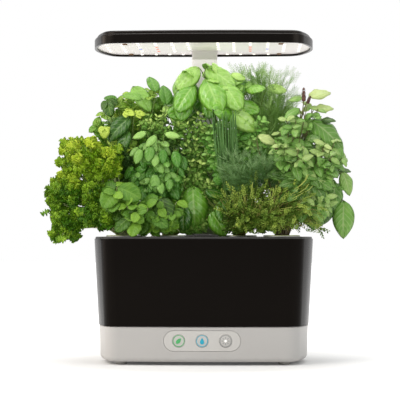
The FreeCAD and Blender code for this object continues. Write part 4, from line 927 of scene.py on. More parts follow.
@dataclass
class Herb:
    """One form of growth of a herb: its pod, its clumps, and how its shoots and leaves look.

    Sizes are in mm. Each of the placed leaves has its stalk's end, heading and rise in degrees,
    length, turn about its own midrib in degrees, and shade from 0, dark, to 1, light, partly its own tone and
    partly painted light and shade.
    """

    node: str
    part: str
    root: tuple[float, float]
    clumps: tuple[Clump, ...]
    leaf_finish: bpy.types.Material
    stem_finish: bpy.types.Material
    form: bpy.types.Object | None
    smallest: float
    largest: float
    nodes: int = 6
    per_node: int = 2
    leafy: float = 0.45
    splay: float = 60.0
    hang: float = 0.25
    face: float = 0.8
    stem: float = 1.3
    growth: Growth = Growth.PAIRS
    seed: int = 1
    placed: tuple[tuple[float, ...], ...] = ()
    lines: list = field(default_factory=list)
    seats: list = field(default_factory=list)

    def allowed(self, at: Vector) -> bool:
        """Says whether a leaf tip may stand at a place."""
        if at.z > LAMP_RIM - LAMP_ROOM or abs(at.x) > GARDEN_HALF_WIDTH or abs(at.y) > GARDEN_HALF_DEPTH:
            return False
        if abs(at.x) < ARM_HALF_WIDTH + ARM_SIDE_ROOM and at.y > ARM_FRONT - ARM_FRONT_ROOM:
            return False
        if abs(at.x) < LID_HALF_WIDTH and at.y < LID_BACK and at.z < DECK_FACE + LID_SWING:
            return False
        beside = abs(at.x) > BOWL_HALF_WIDTH + BOWL_SIDE_ROOM or abs(at.y) > BOWL_HALF_DEPTH
        return at.z > DECK_FACE + DECK_ROOM or (beside and at.z > DECK_FACE - HANG_BELOW_DECK)

    def shoot(self, rng: random.Random, clump: Clump) -> None:
        """Grows one shoot from the pod to the surface of a clump."""
        middle = Vector((clump.x, clump.y, clump.z)) * MM
        while True:
            way = Vector((rng.gauss(0, 1), rng.gauss(0, 1) - TIPS_FORWARD, rng.gauss(0, 1) + TIPS_UP))
            way.normalize()
            deep = rng.uniform(0.55, 1.0)
            tip = middle + Vector((way.x * clump.rx, way.y * clump.ry, way.z * clump.rz)) * MM * deep
            if self.allowed(tip):
                break
        inner = middle.lerp(tip, 0.25)
        inner.z -= clump.rz * 0.5 * MM
        line = self.path(rng, inner, tip)
        if self.growth is not Growth.BARE:
            self.leaves(rng, line, middle, clump)

    def path(self, rng: random.Random, inner: Vector, tip: Vector) -> list[tuple[Vector, float]]:
        """Bends one tapering stem from the sponge, past an inner point, to a tip, and keeps it."""
        angle = rng.uniform(0, math.tau)
        spread = rng.uniform(1, 7) * MM
        foot = Vector((self.root[0] * MM, self.root[1] * MM, SPONGE_FACE - 3 * MM))
        root = foot + Vector((math.cos(angle), math.sin(angle), 0)) * spread
        rise = max(0.35 * (tip - root).length, 14 * MM)
        first = root + Vector((0, 0, rise))
        low = Vector((inner.x, inner.y, max(inner.z, root.z + rise)))
        steps = 11
        line = []
        for k in range(steps + 1):
            t = k / steps
            at = root * (1 - t) ** 3 + first * 3 * t * (1 - t) ** 2 + low * 3 * t**2 * (1 - t) + tip * t**3
            line.append((at, self.stem * MM * (1 - 0.62 * t)))
        self.lines.append(line)
        return line

    def place_leaves(self, rng: random.Random) -> None:
        """Sets the leaves that are placed one by one, each on a stem of its own."""
        for x, y, z, heading_deg, rise_deg, length, turn_deg, tint in self.placed:
            at = Vector((x, y, z)) * MM
            flat, up_by = math.radians(heading_deg), math.radians(rise_deg)
            heading = Vector(
                (math.cos(flat) * math.cos(up_by), math.sin(flat) * math.cos(up_by), math.sin(up_by))
            )
            up = Vector((0, -0.85, 0.75))
            up -= heading * up.dot(heading)
            up = Matrix.Rotation(math.radians(turn_deg), 3, heading) @ up.normalized()
            matrix = Matrix((heading, up.cross(heading), up)).transposed()
            self.seats.append(Seat(at, tuple(matrix.to_euler()), length * MM, tint))
            self.path(rng, at - heading * 0.3 * length * MM - Vector((0, 0, 12 * MM)), at)

    def leaves(self, rng: random.Random, line: list, middle: Vector, clump: Clump) -> None:
        """Sets the leaves of one shoot along its upper part."""
        last = len(line) - 1
        quarter = rng.uniform(0, math.tau)
        for k in range(self.nodes):
            share = k / max(self.nodes - 1, 1)
            t = (1 - self.leafy) + self.leafy * share
            index = min(int(t * last), last - 1)
            at = line[index][0].lerp(line[index + 1][0], t * last - index)
            along = (line[index + 1][0] - line[index][0]).normalized()
            side = along.orthogonal().normalized()
            for m in range(self.per_node):
                roll = quarter + k * 1.57 + m * math.tau / self.per_node + rng.uniform(-0.3, 0.3)
                out = (Matrix.Rotation(roll, 3, along) @ side).normalized()
                splay = math.radians(self.splay * (1 - 0.35 * share) + rng.uniform(-12, 12))
                if share > 0.95 and self.growth is Growth.TUFTS and m == 0:
                    splay = 0.1
                heading = along * math.cos(splay) + out * math.sin(splay) + Vector(
                    (0, 0, -self.hang * rng.uniform(0.5, 1.5))
                )
                heading.normalize()
                size = (self.largest + (self.smallest - self.largest) * share) * rng.uniform(0.8, 1.15) * MM
                if not self.allowed(at + heading * size) or not self.allowed(at + heading * size * 0.5):
                    continue
                outward = at - middle
                up = Vector((0, -self.face, 0.9)) + outward.normalized() * 0.5
                up += Vector((rng.uniform(-0.35, 0.35), rng.uniform(-0.35, 0.35), rng.uniform(-0.35, 0.35)))
                up -= heading * up.dot(heading)
                up.normalize()
                matrix = Matrix((heading, up.cross(heading), up)).transposed()
                # Painted light and shade: leaves high in the clump and at its front are lighter, low and back
                # ones darker; the random part is the leaf's own tone
                lift = (at.z - (clump.z - clump.rz) * MM) / (2 * clump.rz * MM)
                front = 0.5 - (at.y - middle.y) / (2 * clump.ry * MM)
                tint = 0.08 + 0.34 * lift + 0.22 * front + 0.3 * rng.random() + 0.1 * share
                self.seats.append(Seat(at, tuple(matrix.to_euler()), size, min(max(tint, 0.0), 1.0)))

    def grow(self, setter: bpy.types.NodeTree, stemmer: bpy.types.NodeTree) -> None:
        """Grows the whole herb and sets it in place of its CAD solid."""
        rng = random.Random(self.seed)
        for clump in self.clumps:
            for _ in range(clump.shoots):
                self.shoot(rng, clump)
        self.place_leaves(rng)
        name = self.node + "_" + self.part
        stems = set_stems(name + "_stems", self.lines, self.stem_finish, stemmer, 5)
        place(stems, "water_bowl", self.node + "_leaf", self.node)
        if self.seats and self.form is not None:
            leaves = set_forms(name + "_leaves", self.seats, self.form, self.leaf_finish, setter)
            place(leaves, "water_bowl", self.node + "_leaf", self.node)
            LOG.info("%s has %d leaves", name, len(self.seats))


class UprightBlades(Herb):
    """Bare blades that end standing nearly straight up, spread evenly over each clump's box."""

    def shoot(self, rng: random.Random, clump: Clump) -> None:
        """Grows one blade from the pod to a tip in a clump."""
        reach = [rng.uniform(-1, 1) * half for half in (clump.rx, clump.ry, clump.rz)]
        tip = Vector((clump.x + reach[0], clump.y + reach[1], clump.z + reach[2])) * MM
        self.path(rng, tip - Vector((0, 0, 75 * MM)), tip)


class HerbGarden:
    """The ten herbs of the six pods."""

    def __init__(self, setter: bpy.types.NodeTree, stemmer: bpy.types.NodeTree) -> None:
        """Keeps the two trees and makes the shared finishes."""
        self.setter = setter
        self.stemmer = stemmer
        self.pale_stem = GreenStem("Parsley stem, pale green", "#c9cf9a", "#8fa84e").material()
        self.green_stem = GreenStem("Herb stem, green", "#8f9c4e", "#6f8a3c").material()
        self.wood_stem = GreenStem("Woody thyme stem, straw", "#a89a58", "#a9ab5e").material()
        self.dark_stem = GreenStem("Thai basil stem, purple", "#6b5a3c", "#6b6a3a").material()

    def front_left(self) -> list[Herb]:
        """Curly parsley and mint of the front left pod."""
        pod = (-95, -31)
        curl = curled_form("parsley_tuft_form", random.Random(7))
        # Painted light: the upper parsley is a lighter copy of the parsley leaf, with a painted glow
        parsley = Herb(
            "curly_parsley", "tufts", pod,
            (
                Clump(-140, -30, 250, 31, 28, 29, 31), Clump(-112, -32, 246, 19, 22, 26, 10),
                Clump(-164, -30, 218, 18, 20, 12, 6), Clump(-154, -30, 246, 20, 22, 20, 7),
            ),
            leaf(
                "Curly parsley leaf", "#1f3a06", "#6d9a0e", "#dcec4c", "#c2d666", side_veins=3.0,
                vein_strength=0.2, roughness=0.45, glow=0.12
            ),
            self.pale_stem, curl,
            smallest=12, largest=16, nodes=2, per_node=3, leafy=0.16, splay=62, hang=0.1, face=0.7,
            growth=Growth.TUFTS, seed=11,
        )
        # Painted shade: the lower parsley is a darker copy of the same leaf
        shaded = Herb(
            "curly_parsley", "shaded", pod,
            (
                Clump(-162, -30, 206, 25, 24, 16, 14), Clump(-134, -34, 206, 22, 24, 22, 13),
                Clump(-168, -30, 176, 24, 22, 18, 17), Clump(-138, -36, 182, 20, 22, 18, 11),
                Clump(-170, -30, 155, 16, 18, 12, 10), Clump(-184, -30, 196, 8, 12, 8, 3),
                Clump(-118, -42, 174, 16, 16, 14, 9),
            ),
            leaf(
                "Curly parsley leaf, shaded", "#142c06", "#4a7c12", "#b4d83c", "#8fb44c", side_veins=3.0,
                vein_strength=0.2, roughness=0.45
            ),
            self.pale_stem, curl,
            smallest=11, largest=15, nodes=2, per_node=3, leafy=0.16, splay=62, hang=0.1, face=0.7,
            growth=Growth.TUFTS, seed=35,
        )
        round_blade = Blade(
            0.86, widest=0.47, round_off=0.62, cup=0.25, droop=0.7, ruffle=0.015, teeth=9, tooth=0.14,
            blister=0.05, dome=0.15, rows=12, columns=8
        )
        mint = Herb(
            "mint", "round", pod,
            (
                Clump(-100, -50, 196, 17, 18, 12, 4), Clump(-80, -52, 182, 18, 18, 14, 5),
                Clump(-58, -46, 186, 18, 16, 16, 7), Clump(-40, -40, 184, 16, 16, 18, 7),
                Clump(-62, -40, 164, 18, 16, 8, 6), Clump(-36, -34, 164, 12, 16, 8, 5),
            ),
            leaf(
                "Mint leaf", "#203a0c", "#4c7a1c", "#8db83a", "#86ad4c", side_veins=6.0, vein_strength=0.4,
                roughness=0.5, glow=0.08
            ),
            self.pale_stem, blade_form("mint_form", round_blade),
            smallest=14, largest=22, nodes=3, leafy=0.4, splay=66, hang=0.45, face=1.2, seed=12,
            placed=(
                (-103, -56, 209, 160, 22, 24, -10, 0.35), (-101, -57, 211, -18, -16, 33, 8, 0.55),
                (-104, -58, 208, 232, -42, 28, -12, 0.6), (-100, -56, 211, 70, 40, 18, 0, 0.85),
                (-72, -54, 190, 205, -4, 26, 0, 0.15), (-48, -50, 199, -70, -62, 32, 10, 0.12),
                (-85, -58, 176, 196, -32, 27, 0, 0.3), (-52, -52, 196, 170, 8, 24, 0, 0.5),
                (-60, -54, 176, -30, -20, 25, 0, 0.4), (-78, -58, 170, -110, -40, 22, 0, 0.7),
            ),
        )
        return [parsley, shaded, mint]

    def back_left(self) -> list[Herb]:
        """Broad-leaved coriander of the back left pod, with a fine curly part before it."""
        pod = (-95, 31)
        flat_blade = Blade(
            0.8, widest=0.5, round_off=0.7, cup=0.3, ruffle=0.03, waves=2, teeth=5, tooth=0.2, dome=0.1,
            veins=5, rows=6, columns=4
        )
        lobes = lobed_form(
            "lobed_leaf_form", flat_blade, ((0.0, 0, 1.0), (0.12, 62, 0.62), (0.12, -62, 0.62))
        )
        coriander = Herb(
            "coriander", "lobed", pod,
            (
                Clump(-114, 26, 290, 22, 26, 22, 12), Clump(-84, 28, 314, 26, 26, 24, 15),
                Clump(-60, 26, 320, 16, 22, 22, 8), Clump(-98, 24, 262, 22, 22, 18, 8),
                Clump(-96, 60, 292, 26, 22, 28, 13), Clump(-70, 30, 290, 22, 22, 20, 10),
            ),
            leaf(
                "Broad herb leaf", "#264a10", "#5f9128", "#bcd455", "#a9c766", side_veins=5.0,
                vein_strength=0.3, roughness=0.4
            ),
            self.green_stem, lobes,
            smallest=13, largest=22, nodes=4, leafy=0.42, splay=62, hang=0.3, face=1.1, stem=1.2, seed=13,
            placed=(
                (-121, 0, 288, -100, -66, 17, 0, 1.0), (-119, 10, 322, -70, -72, 24, 30, 0.1),
                (-98, -2, 306, -20, -10, 16, 0, 1.0), (-84, -4, 303, 10, 6, 15, 0, 0.95),
            ),
        )
        oval_blade = Blade(
            0.6, round_off=0.68, droop=0.8, ruffle=0.01, waves=2, blister=0.04, dome=0.3, rows=12,
            columns=8
        )
        large = Herb(
            "coriander", "broad", pod, (),
            leaf(
                "Broad dark leaf", "#234a12", "#558a2c", "#9cc860", "#9cc472", side_veins=6.0,
                vein_strength=0.35, roughness=0.35, glow=0.08
            ),
            self.green_stem, blade_form("broad_leaf_form", oval_blade),
            smallest=20, largest=40, seed=31,
            placed=(
                (-90, -2, 299, 200, -38, 42, -10, 0.12), (-92, -4, 282, 215, -58, 34, 12, 0.18),
                (-88, 8, 337, -28, -40, 40, 0, 0.8), (-108, 12, 320, 160, 30, 22, 0, 0.4),
                (-60, 6, 330, 115, 68, 30, 20, 0.55), (-46, 2, 314, 96, 78, 32, 20, 0.5),
                (-76, 2, 322, 205, 20, 26, 0, 0.7),
            ),
        )
        fine = Herb(
            "coriander", "curly", pod,
            (Clump(-98, -8, 244, 19, 12, 27, 30), Clump(-84, -12, 214, 17, 12, 18, 16)),
            leaf(
                "Fine curly leaf", "#14290c", "#35581f", "#5f8a3c", "#4f7a34", side_veins=2.0,
                vein_strength=0.1, roughness=0.6, glow=0.05
            ),
            self.green_stem, curled_form("fine_tuft_form", random.Random(9), 22, 2),
            smallest=6, largest=9, nodes=5, per_node=3, leafy=0.4, splay=62, hang=0.1, stem=0.8,
            growth=Growth.TUFTS, seed=32,
        )
        return [coriander, large, fine]

    def inner_left(self) -> list[Herb]:
        """Bush basil and oregano of the inner left pod."""
        pod = (-43, 4)
        crowned = Blade(0.62, widest=0.4, cup=0.2, droop=0.9, waves=2, blister=0.05, dome=0.6, veins=5)
        bush = Herb(
            "bush_basil", "crowned", pod,
            (
                Clump(-60, -22, 254, 24, 16, 22, 10), Clump(-78, -22, 242, 14, 16, 16, 5),
                Clump(-42, -22, 236, 17, 16, 20, 7), Clump(-60, -20, 222, 16, 16, 14, 4),
            ),
            leaf(
                "Bush basil leaf", "#1c420c", "#4f8a2a", "#a6cf6e", "#a2c878", side_veins=5.0,
                vein_strength=0.35, roughness=0.34, glow=0.06
            ),
            self.green_stem, blade_form("bush_basil_form", crowned),
            smallest=17, largest=25, nodes=3, per_node=3, leafy=0.3, splay=74, hang=0.85, face=1.3,
            stem=1.2, seed=14,
            placed=(
                (-58, -38, 228, -82, -74, 25, 4, 0.65), (-40, -36, 222, -88, -76, 17, -10, 0.6),
                (-62, -42, 262, -100, -60, 22, -14, 0.6), (-34, -38, 256, -70, -64, 23, 12, 0.5),
                (-48, -40, 258, -85, -70, 20, 0, 0.45), (-74, -40, 258, -120, -52, 21, -10, 0.7),
                (-46, -38, 276, -20, 6, 20, 0, 0.95), (-68, -38, 278, 200, -8, 19, 0, 0.9),
                (-56, -40, 274, -140, -30, 20, 0, 0.8), (-26, -34, 250, -60, -70, 20, 20, 0.3),
            ),
        )
        small_blade = Blade(
            0.66, widest=0.45, round_off=0.72, cup=0.25, waves=2, blister=0.0, dome=0.2, veins=4, rows=4,
            columns=2
        )
        small_leaf = leaf(
            "Oregano leaf", "#1f3d0e", "#5f9030", "#d0e880", "#a5c266", side_veins=4.0, vein_strength=0.2,
            roughness=0.5
        )
        small_form = blade_form("oregano_form", small_blade)
        oregano = Herb(
            "oregano", "upright", pod,
            (
                Clump(-18, -4, 264, 24, 14, 24, 22), Clump(-8, -10, 288, 22, 12, 14, 16),
                Clump(-14, -10, 232, 24, 12, 22, 20), Clump(-40, -4, 292, 24, 14, 14, 20),
                Clump(4, -6, 250, 16, 12, 26, 14), Clump(-14, -4, 204, 24, 12, 14, 14),
                Clump(-62, -2, 292, 18, 12, 10, 12), Clump(6, -8, 216, 16, 10, 16, 12),
                Clump(-4, -4, 172, 26, 10, 14, 18), Clump(28, -2, 184, 18, 10, 22, 16),
                Clump(34, 2, 222, 20, 12, 22, 14),
            ),
            small_leaf,
            self.green_stem, small_form,
            smallest=7, largest=12, nodes=8, leafy=0.55, splay=62, hang=0.15, face=0.9, stem=0.8, seed=15,
        )
        return [bush, oregano]

    def inner_right(self) -> list[Herb]:
        """Large-leaved basil, chives and thyme of the inner right pod."""
        pod = (43, 4)
        basil_blade = Blade(
            0.7, widest=0.44, round_off=0.6, cup=0.22, droop=0.75, ruffle=0.012, waves=2, blister=0.07,
            dome=0.55, rows=16, columns=10
        )
        basil = Herb(
            "large_leaf_basil", "leaves", pod,
            (
                Clump(-20, 6, 330, 20, 12, 16, 3), Clump(6, 6, 342, 22, 12, 14, 4),
                Clump(38, 6, 328, 20, 12, 16, 3),
            ),
            leaf(
                "Large basil leaf", "#265e0a", "#6aa628", "#b4da70", "#c2de8c", side_veins=6.0,
                vein_strength=0.4, roughness=0.3, glow=0.07, specular=0.7
            ),
            self.green_stem, blade_form("large_basil_form", basil_blade),
            smallest=26, largest=42, nodes=2, leafy=0.22, splay=66, hang=0.35, face=1.1, stem=1.6, seed=16,
            placed=(
                (-5, -8, 358, 202, -30, 40, -6, 0.75), (3, -10, 358, -18, -24, 46, 6, 0.7),
                (3, -14, 344, -62, -44, 50, 8, 0.55), (28, -10, 310, -16, -24, 48, 0, 0.8),
                (-12, -12, 336, 225, -42, 40, -8, 0.45), (24, -12, 338, -48, -40, 42, 10, 0.65),
                (33, -4, 350, 8, 4, 21, 0, 1.0), (78, 8, 336, -8, 4, 25, 0, 1.0),
                (-44, 0, 304, 120, 60, 16, 0, 1.0), (-20, -8, 326, 250, -56, 36, -10, 0.35),
                (8, -6, 326, -95, -58, 32, 0, 0.3), (-13, -15, 214, -78, -78, 52, 4, 0.5),
                (9, -18, 182, -30, -46, 35, 8, 0.42), (-8, -14, 206, 176, -6, 22, 0, 0.35),
                (2, -15, 209, -4, -4, 27, 10, 0.12), (-24, -14, 214, 188, -18, 25, 0, 0.3),
                (22, -20, 196, -60, -60, 30, -20, 0.2), (-24, -18, 190, -100, -70, 32, 10, 0.08),
                (-34, -18, 184, -120, -66, 28, -10, 0.1),
            ),
        )
        young_blade = Blade(
            0.7, round_off=0.7, cup=0.25, droop=0.8, waves=2, blister=0.03, dome=0.4, veins=5, rows=7,
            columns=4
        )
        young = Herb(
            "large_leaf_basil", "young", pod,
            (
                Clump(58, -6, 286, 20, 12, 18, 14), Clump(66, -8, 262, 22, 12, 14, 12),
                Clump(44, 0, 266, 16, 10, 18, 8), Clump(27, -6, 278, 13, 8, 22, 14),
                Clump(15, -13, 254, 11, 8, 30, 14), Clump(10, -14, 280, 12, 8, 14, 8),
                Clump(42, -8, 292, 14, 8, 10, 6),
            ),
            leaf(
                "Young basil leaf", "#2f6a1a", "#68a23a", "#b4da7c", "#b2d488", side_veins=5.0,
                vein_strength=0.3, roughness=0.35, glow=0.08
            ),
            self.green_stem, blade_form("young_basil_form", young_blade),
            smallest=9, largest=14, nodes=4, leafy=0.35, splay=62, hang=0.4, face=1.0, stem=1.0, seed=36,
        )
        chives = UprightBlades(
            "chives", "blades", pod,
            (Clump(26, -30, 296, 15, 4, 9, 40), Clump(27, -29, 276, 16, 5, 14, 12)),
            self.green_stem,
            GreenStem("Chive blade, green", "#7e9a48", "#55823a").material(), None,
            smallest=1, largest=1, stem=1.25, growth=Growth.BARE, seed=17,
        )
        thyme_blade = Blade(
            0.56, widest=0.45, cup=0.2, droop=0.4, waves=2, blister=0.0, dome=0.2, veins=4, rows=3,
            columns=2, thickness=0.04
        )
        thyme = Herb(
            "thyme", "sprigs", pod,
            (
                Clump(34, -40, 190, 18, 16, 24, 22), Clump(58, -46, 188, 24, 20, 26, 34),
                Clump(86, -50, 186, 26, 20, 26, 36), Clump(116, -50, 184, 26, 20, 24, 34),
                Clump(70, -30, 204, 30, 16, 18, 18), Clump(104, -40, 206, 24, 16, 12, 12),
                Clump(50, -44, 164, 26, 16, 9, 18), Clump(98, -48, 164, 32, 16, 9, 24),
                Clump(124, -46, 166, 20, 16, 9, 12),
            ),
            leaf(
                "Thyme leaf", "#22340e", "#5c7c24", "#b3c656", "#9aaa54", side_veins=1.0,
                vein_strength=0.1, roughness=0.5
            ),
            self.wood_stem, sprig_form("thyme_sprig_form", thyme_blade, 6, 0.38),
            smallest=13, largest=20, nodes=3, per_node=1, leafy=0.5, splay=40, hang=0.1, face=0.6,
            stem=0.6, seed=20,
        )
        arching = Herb(
            "thyme", "arching", pod,
            (
                Clump(56, -56, 196, 26, 10, 24, 7), Clump(92, -60, 200, 30, 10, 24, 8),
                Clump(120, -58, 206, 20, 10, 24, 6),
            ),
            self.pale_stem,
            GreenStem("Young thyme shoot, yellow-green", "#a7b355", "#c0cc62").material(), None,
            smallest=1, largest=1, stem=0.9, growth=Growth.BARE, seed=21,
        )
        return [basil, young, chives, thyme, arching]

    def right(self) -> list[Herb]:
        """Dill of the back right pod and Thai basil of the front right one."""
        spray = feather_form("dill_spray_form", random.Random(5))
        dill = Herb(
            "dill", "airy", (95, 31),
            (
                Clump(77, 26, 322, 36, 34, 36, 40), Clump(60, 26, 348, 26, 20, 22, 16),
                Clump(99, 33, 290, 24, 26, 26, 18), Clump(66, 24, 284, 26, 24, 24, 14),
                Clump(60, 8, 262, 30, 20, 22, 16),
            ),
            leaf(
                "Dill thread", "#446a28", "#76a048", "#b8d886", "#a5c47a", side_veins=1.0,
                vein_strength=0.1, roughness=0.5, glow=0.14
            ),
            self.green_stem, spray,
            smallest=20, largest=32, nodes=3, leafy=0.3, splay=46, hang=0.0, face=0.5, stem=0.7,
            growth=Growth.TUFTS, seed=18,
        )
        feathery = Herb(
            "dill", "front", (95, 31),
            (Clump(44, -34, 232, 32, 12, 20, 46), Clump(74, -28, 238, 20, 14, 20, 20)),
            leaf(
                "Feathery thread", "#2f5226", "#64904a", "#b2d296", "#a3c79a", side_veins=1.0,
                vein_strength=0.1, roughness=0.5
            ),
            self.green_stem, spray,
            smallest=14, largest=22, nodes=4, leafy=0.35, splay=50, hang=0.0, face=0.7, stem=0.6,
            growth=Growth.TUFTS, seed=33,
        )
        thai_blade = Blade(
            0.56, round_off=0.78, cup=0.2, droop=0.8, ruffle=0.03, waves=2.5, teeth=11, tooth=0.1,
            blister=0.04, dome=0.35, veins=7, rows=12
        )
        thai_leaf = leaf(
            "Thai basil leaf", "#2b4d18", "#6a9a3e", "#c3d488", "#b6c48e", vein_strength=0.4,
            roughness=0.36
        )
        thai = Herb(
            "thai_basil", "leaves", (95, -31),
            (
                Clump(112, -30, 290, 20, 20, 22, 6), Clump(132, -28, 296, 18, 20, 18, 5),
                Clump(146, -30, 256, 20, 22, 22, 6), Clump(122, -32, 238, 26, 22, 22, 9),
                Clump(150, -32, 216, 20, 20, 20, 6), Clump(136, -34, 200, 20, 20, 16, 6),
                Clump(96, -28, 262, 18, 18, 18, 6), Clump(154, -44, 250, 14, 14, 20, 5),
                Clump(112, -46, 252, 16, 14, 22, 4), Clump(150, -12, 244, 16, 14, 24, 4),
            ),
            thai_leaf,
            self.dark_stem, blade_form("thai_basil_form", thai_blade),
            smallest=14, largest=27, nodes=4, leafy=0.4, splay=62, hang=0.55, face=1.3, seed=19,
            placed=(
                (127, -32, 320, 12, 28, 33, 0, 1.0), (133, -32, 305, 8, 20, 28, 0, 0.85),
                (142, -32, 292, -5, 14, 19, 0, 0.1), (129, -34, 292, -14, -30, 58, 0, 0.38),
                (112, -34, 298, -95, -72, 31, 8, 0.55), (120, -36, 318, 170, 10, 20, 0, 0.6),
                (116, -36, 306, 200, -20, 24, 0, 0.5), (162, -32, 232, 10, 12, 19, 0, 0.1),
                (167, -34, 230, -35, -60, 31, 0, 0.6), (158, -36, 218, -100, -78, 41, -6, 0.3),
                (169, -34, 196, -108, -80, 49, 6, 0.5), (153, -34, 193, 205, -72, 30, -20, 0.1),
                (103, -36, 260, -22, 10, 23, 0, 1.0), (66, -30, 274, -10, -12, 28, 0, 0.95),
                (137, -38, 241, -50, -62, 30, 0, 0.9), (148, -36, 262, 20, -30, 26, 0, 0.4),
                (150, -34, 206, -150, -50, 28, 0, 0.3), (118, -40, 252, -70, -50, 26, 0, 0.85),
                (128, -38, 222, -120, -50, 26, 0, 0.8),
            ),
        )
        bud_blade = Blade(
            0.9, widest=0.5, round_off=0.6, cup=0.5, droop=0.9, waves=2, blister=0.0, dome=0.2, veins=3,
            rows=4, columns=2
        )
        buds = Herb(
            "thai_basil", "buds", (95, -31), (),
            leaf(
                "Thai basil bud, purple", "#2e1a16", "#6a4438", "#8f6a56", "#8a6a58", side_veins=3.0,
                vein_strength=0.2, roughness=0.5, glow=0.05
            ),
            self.dark_stem, sprig_form("bud_form", bud_blade, 7, 0.42),
            smallest=8, largest=12, stem=1.0, seed=34,
            placed=(
                (121, -37, 313, 90, 82, 16, 0, 0.4), (125, -38, 311, 40, 60, 10, 0, 0.3),
                (88, -38, 254, 60, 70, 13, 0, 0.3), (151, -38, 238, 80, 75, 12, 0, 0.3),
                (154, -38, 246, 60, 60, 10, 0, 0.5), (130, -42, 212, 70, 70, 11, 0, 0.6),
                (104, -42, 250, 120, 60, 10, 0, 0.4),
            ),
        )
        return [dill, feathery, thai, buds]

    def herbs(self) -> list[Herb]:
        """Describes every herb, pod by pod."""
        return self.front_left() + self.back_left() + self.inner_left() + self.inner_right() + self.right()

    def plant(self) -> None:
        """Grows every herb."""
        for herb in self.herbs():
            herb.grow(self.setter, self.stemmer)


@dataclass
class BaseUnit:
    """Grey base: housing, feet, screws, boards, inlet, and the fixed arm column."""

    palette: Palette

    def build(self) -> None:
        """Dresses the base's nodes."""
        dress(("base_shell", "bottom_plate"), self.palette.base_grey)
        dress(("rubber_feet",), self.palette.rubber)
        dress(("base_screws",), self.palette.steel)
        dress(("control_board", "main_board"), self.palette.circuit)
        dress(("tactile_switches", "board_components", "power_inlet"), self.palette.component)
        dress(("arm_column", "column_cover"), self.palette.arm_grey)
        dress(("column_contacts",), self.palette.contact_brass)


@dataclass
class ControlPanel:
    """Oval panel with three round buttons, each with a ring and a plain picture on it."""

    palette: Palette
    ring_outer: float = 6.9 * MM
    ring_inner: float = 6.2 * MM
    proud: float = 0.12 * MM
    ring_steps: int = 72

    def face_of(self, node: str) -> Vector:
        """Middle of a button's front face."""
        low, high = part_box(node)
        return Vector(((low.x + high.x) / 2, low.y, (low.z + high.z) / 2))

    def inlay(self, name: str, outline: list[tuple[float, float]], face: Vector) -> bpy.types.Mesh:
        """Flat inlay in the face of a button.

        Args:
            name: Name of the mesh.
            outline: Points in the face, from its middle, in metres, right and up.
            face: Middle of the face.

        Returns:
            A closed thin mesh.
        """
        build = bmesh.new()
        front = [build.verts.new((face.x + x, face.y - self.proud, face.z + z)) for x, z in outline]
        back = [build.verts.new((face.x + x, face.y + INLAY_SUNK, face.z + z)) for x, z in outline]
        build.faces.new(front)
        build.faces.new(list(reversed(back)))
        for k in range(len(outline)):
            after = (k + 1) % len(outline)
            build.faces.new((front[k], back[k], back[after], front[after]))
        return mesh_from(name, build, False)

    def ring(self, name: str, face: Vector) -> bpy.types.Mesh:
        """Closed flat ring on a button's face."""
        build = bmesh.new()
        outer, inner, sunk, proud = self.ring_outer, self.ring_inner, INLAY_SUNK, -self.proud
        loops = []
        for radius, depth in ((outer, sunk), (outer, proud), (inner, proud), (inner, sunk)):
            outline = [on_circle(radius, k, self.ring_steps) for k in range(self.ring_steps)]
            loops.append([build.verts.new((face.x + x, face.y + depth, face.z + z)) for x, z in outline])
        join_loops(build, loops + loops[:1])
        return mesh_from(name, build, False)

    def mark(self, mesh: bpy.types.Mesh, ink: bpy.types.Material, body: str) -> None:
        """Puts a thin inked mesh on a button, under the mesh's own name."""
        place(link_mesh(mesh.name, mesh, ink), body, "panel_plastic")

    def leaf_outline(self) -> list[tuple[float, float]]:
        """Pointed oval leaning to the right."""
        points = []
        for k in range(32):
            angle = math.tau * k / 32
            along = 4.1 * MM * math.cos(angle)
            across = 2.2 * MM * math.sin(angle) * (1 - 0.25 * math.cos(angle)) * abs(math.sin(angle)) ** 0.3
            lean = math.radians(48)
            right = along * math.cos(lean) - across * math.sin(lean)
            points.append((right, along * math.sin(lean) + across * math.cos(lean)))
        return points

    def drop_outline(self) -> list[tuple[float, float]]:
        """Drop with its point up."""
        points = []
        for k in range(36):
            angle = math.tau * k / 36
            wide = 3.3 * MM * math.sin(angle) * math.sin(angle / 2) ** 1.2
            points.append((wide, 3.9 * MM * math.cos(angle) - 0.1 * MM))
        return points

    def build(self) -> None:
        """Dresses the panel and sets the rings and pictures."""
        dress(("control_panel", "plant_food_button", "water_button", "light_button"), self.palette.panel_grey)
        plans = (
            ("plant_food_button", "plant_food_key", self.palette.ink_green, self.leaf_outline()),
            ("water_button", "water_key", self.palette.ink_teal, self.drop_outline()),
            ("light_button", "light_key", self.palette.ink_grey, None),
        )
        for node, body, ink, picture in plans:
            face = self.face_of(node)
            self.mark(self.ring(node + "_ring", face), ink, body)
            if picture is not None:
                self.mark(self.inlay(node + "_picture", picture, face), ink, body)
        self.sun()

    def sun(self) -> None:
        """Sets the lamp button's picture: a white dot inside eight grey rays."""
        face = self.face_of("light_button")
        dot = [on_circle(SUN_RADIUS, k, 28) for k in range(28)]
        self.mark(self.inlay("light_button_dot", dot, face), self.palette.ink_white, "light_key")
        build = bmesh.new()
        near, far = RAY_REACH
        for k in range(8):
            angle = math.tau * k / 8
            way = Vector((math.cos(angle), 0, math.sin(angle)))
            side = Vector((-way.z, 0, way.x)) * RAY_HALF_WIDTH
            corners = [
                build.verts.new(face + way * reach * MM + side * sign + Vector((0, depth, 0)))
                for depth in (-self.proud, INLAY_SUNK)
                for reach, sign in ((near, -1), (far, -1), (far, 1), (near, 1))
            ]
            for quad in ((0, 1, 2, 3), (7, 6, 5, 4), (0, 4, 5, 1), (1, 5, 6, 2), (2, 6, 7, 3), (3, 7, 4, 0)):
                build.faces.new([corners[i] for i in quad])
        self.mark(mesh_from("light_button_rays", build, False), self.palette.ink_grey, "light_key")


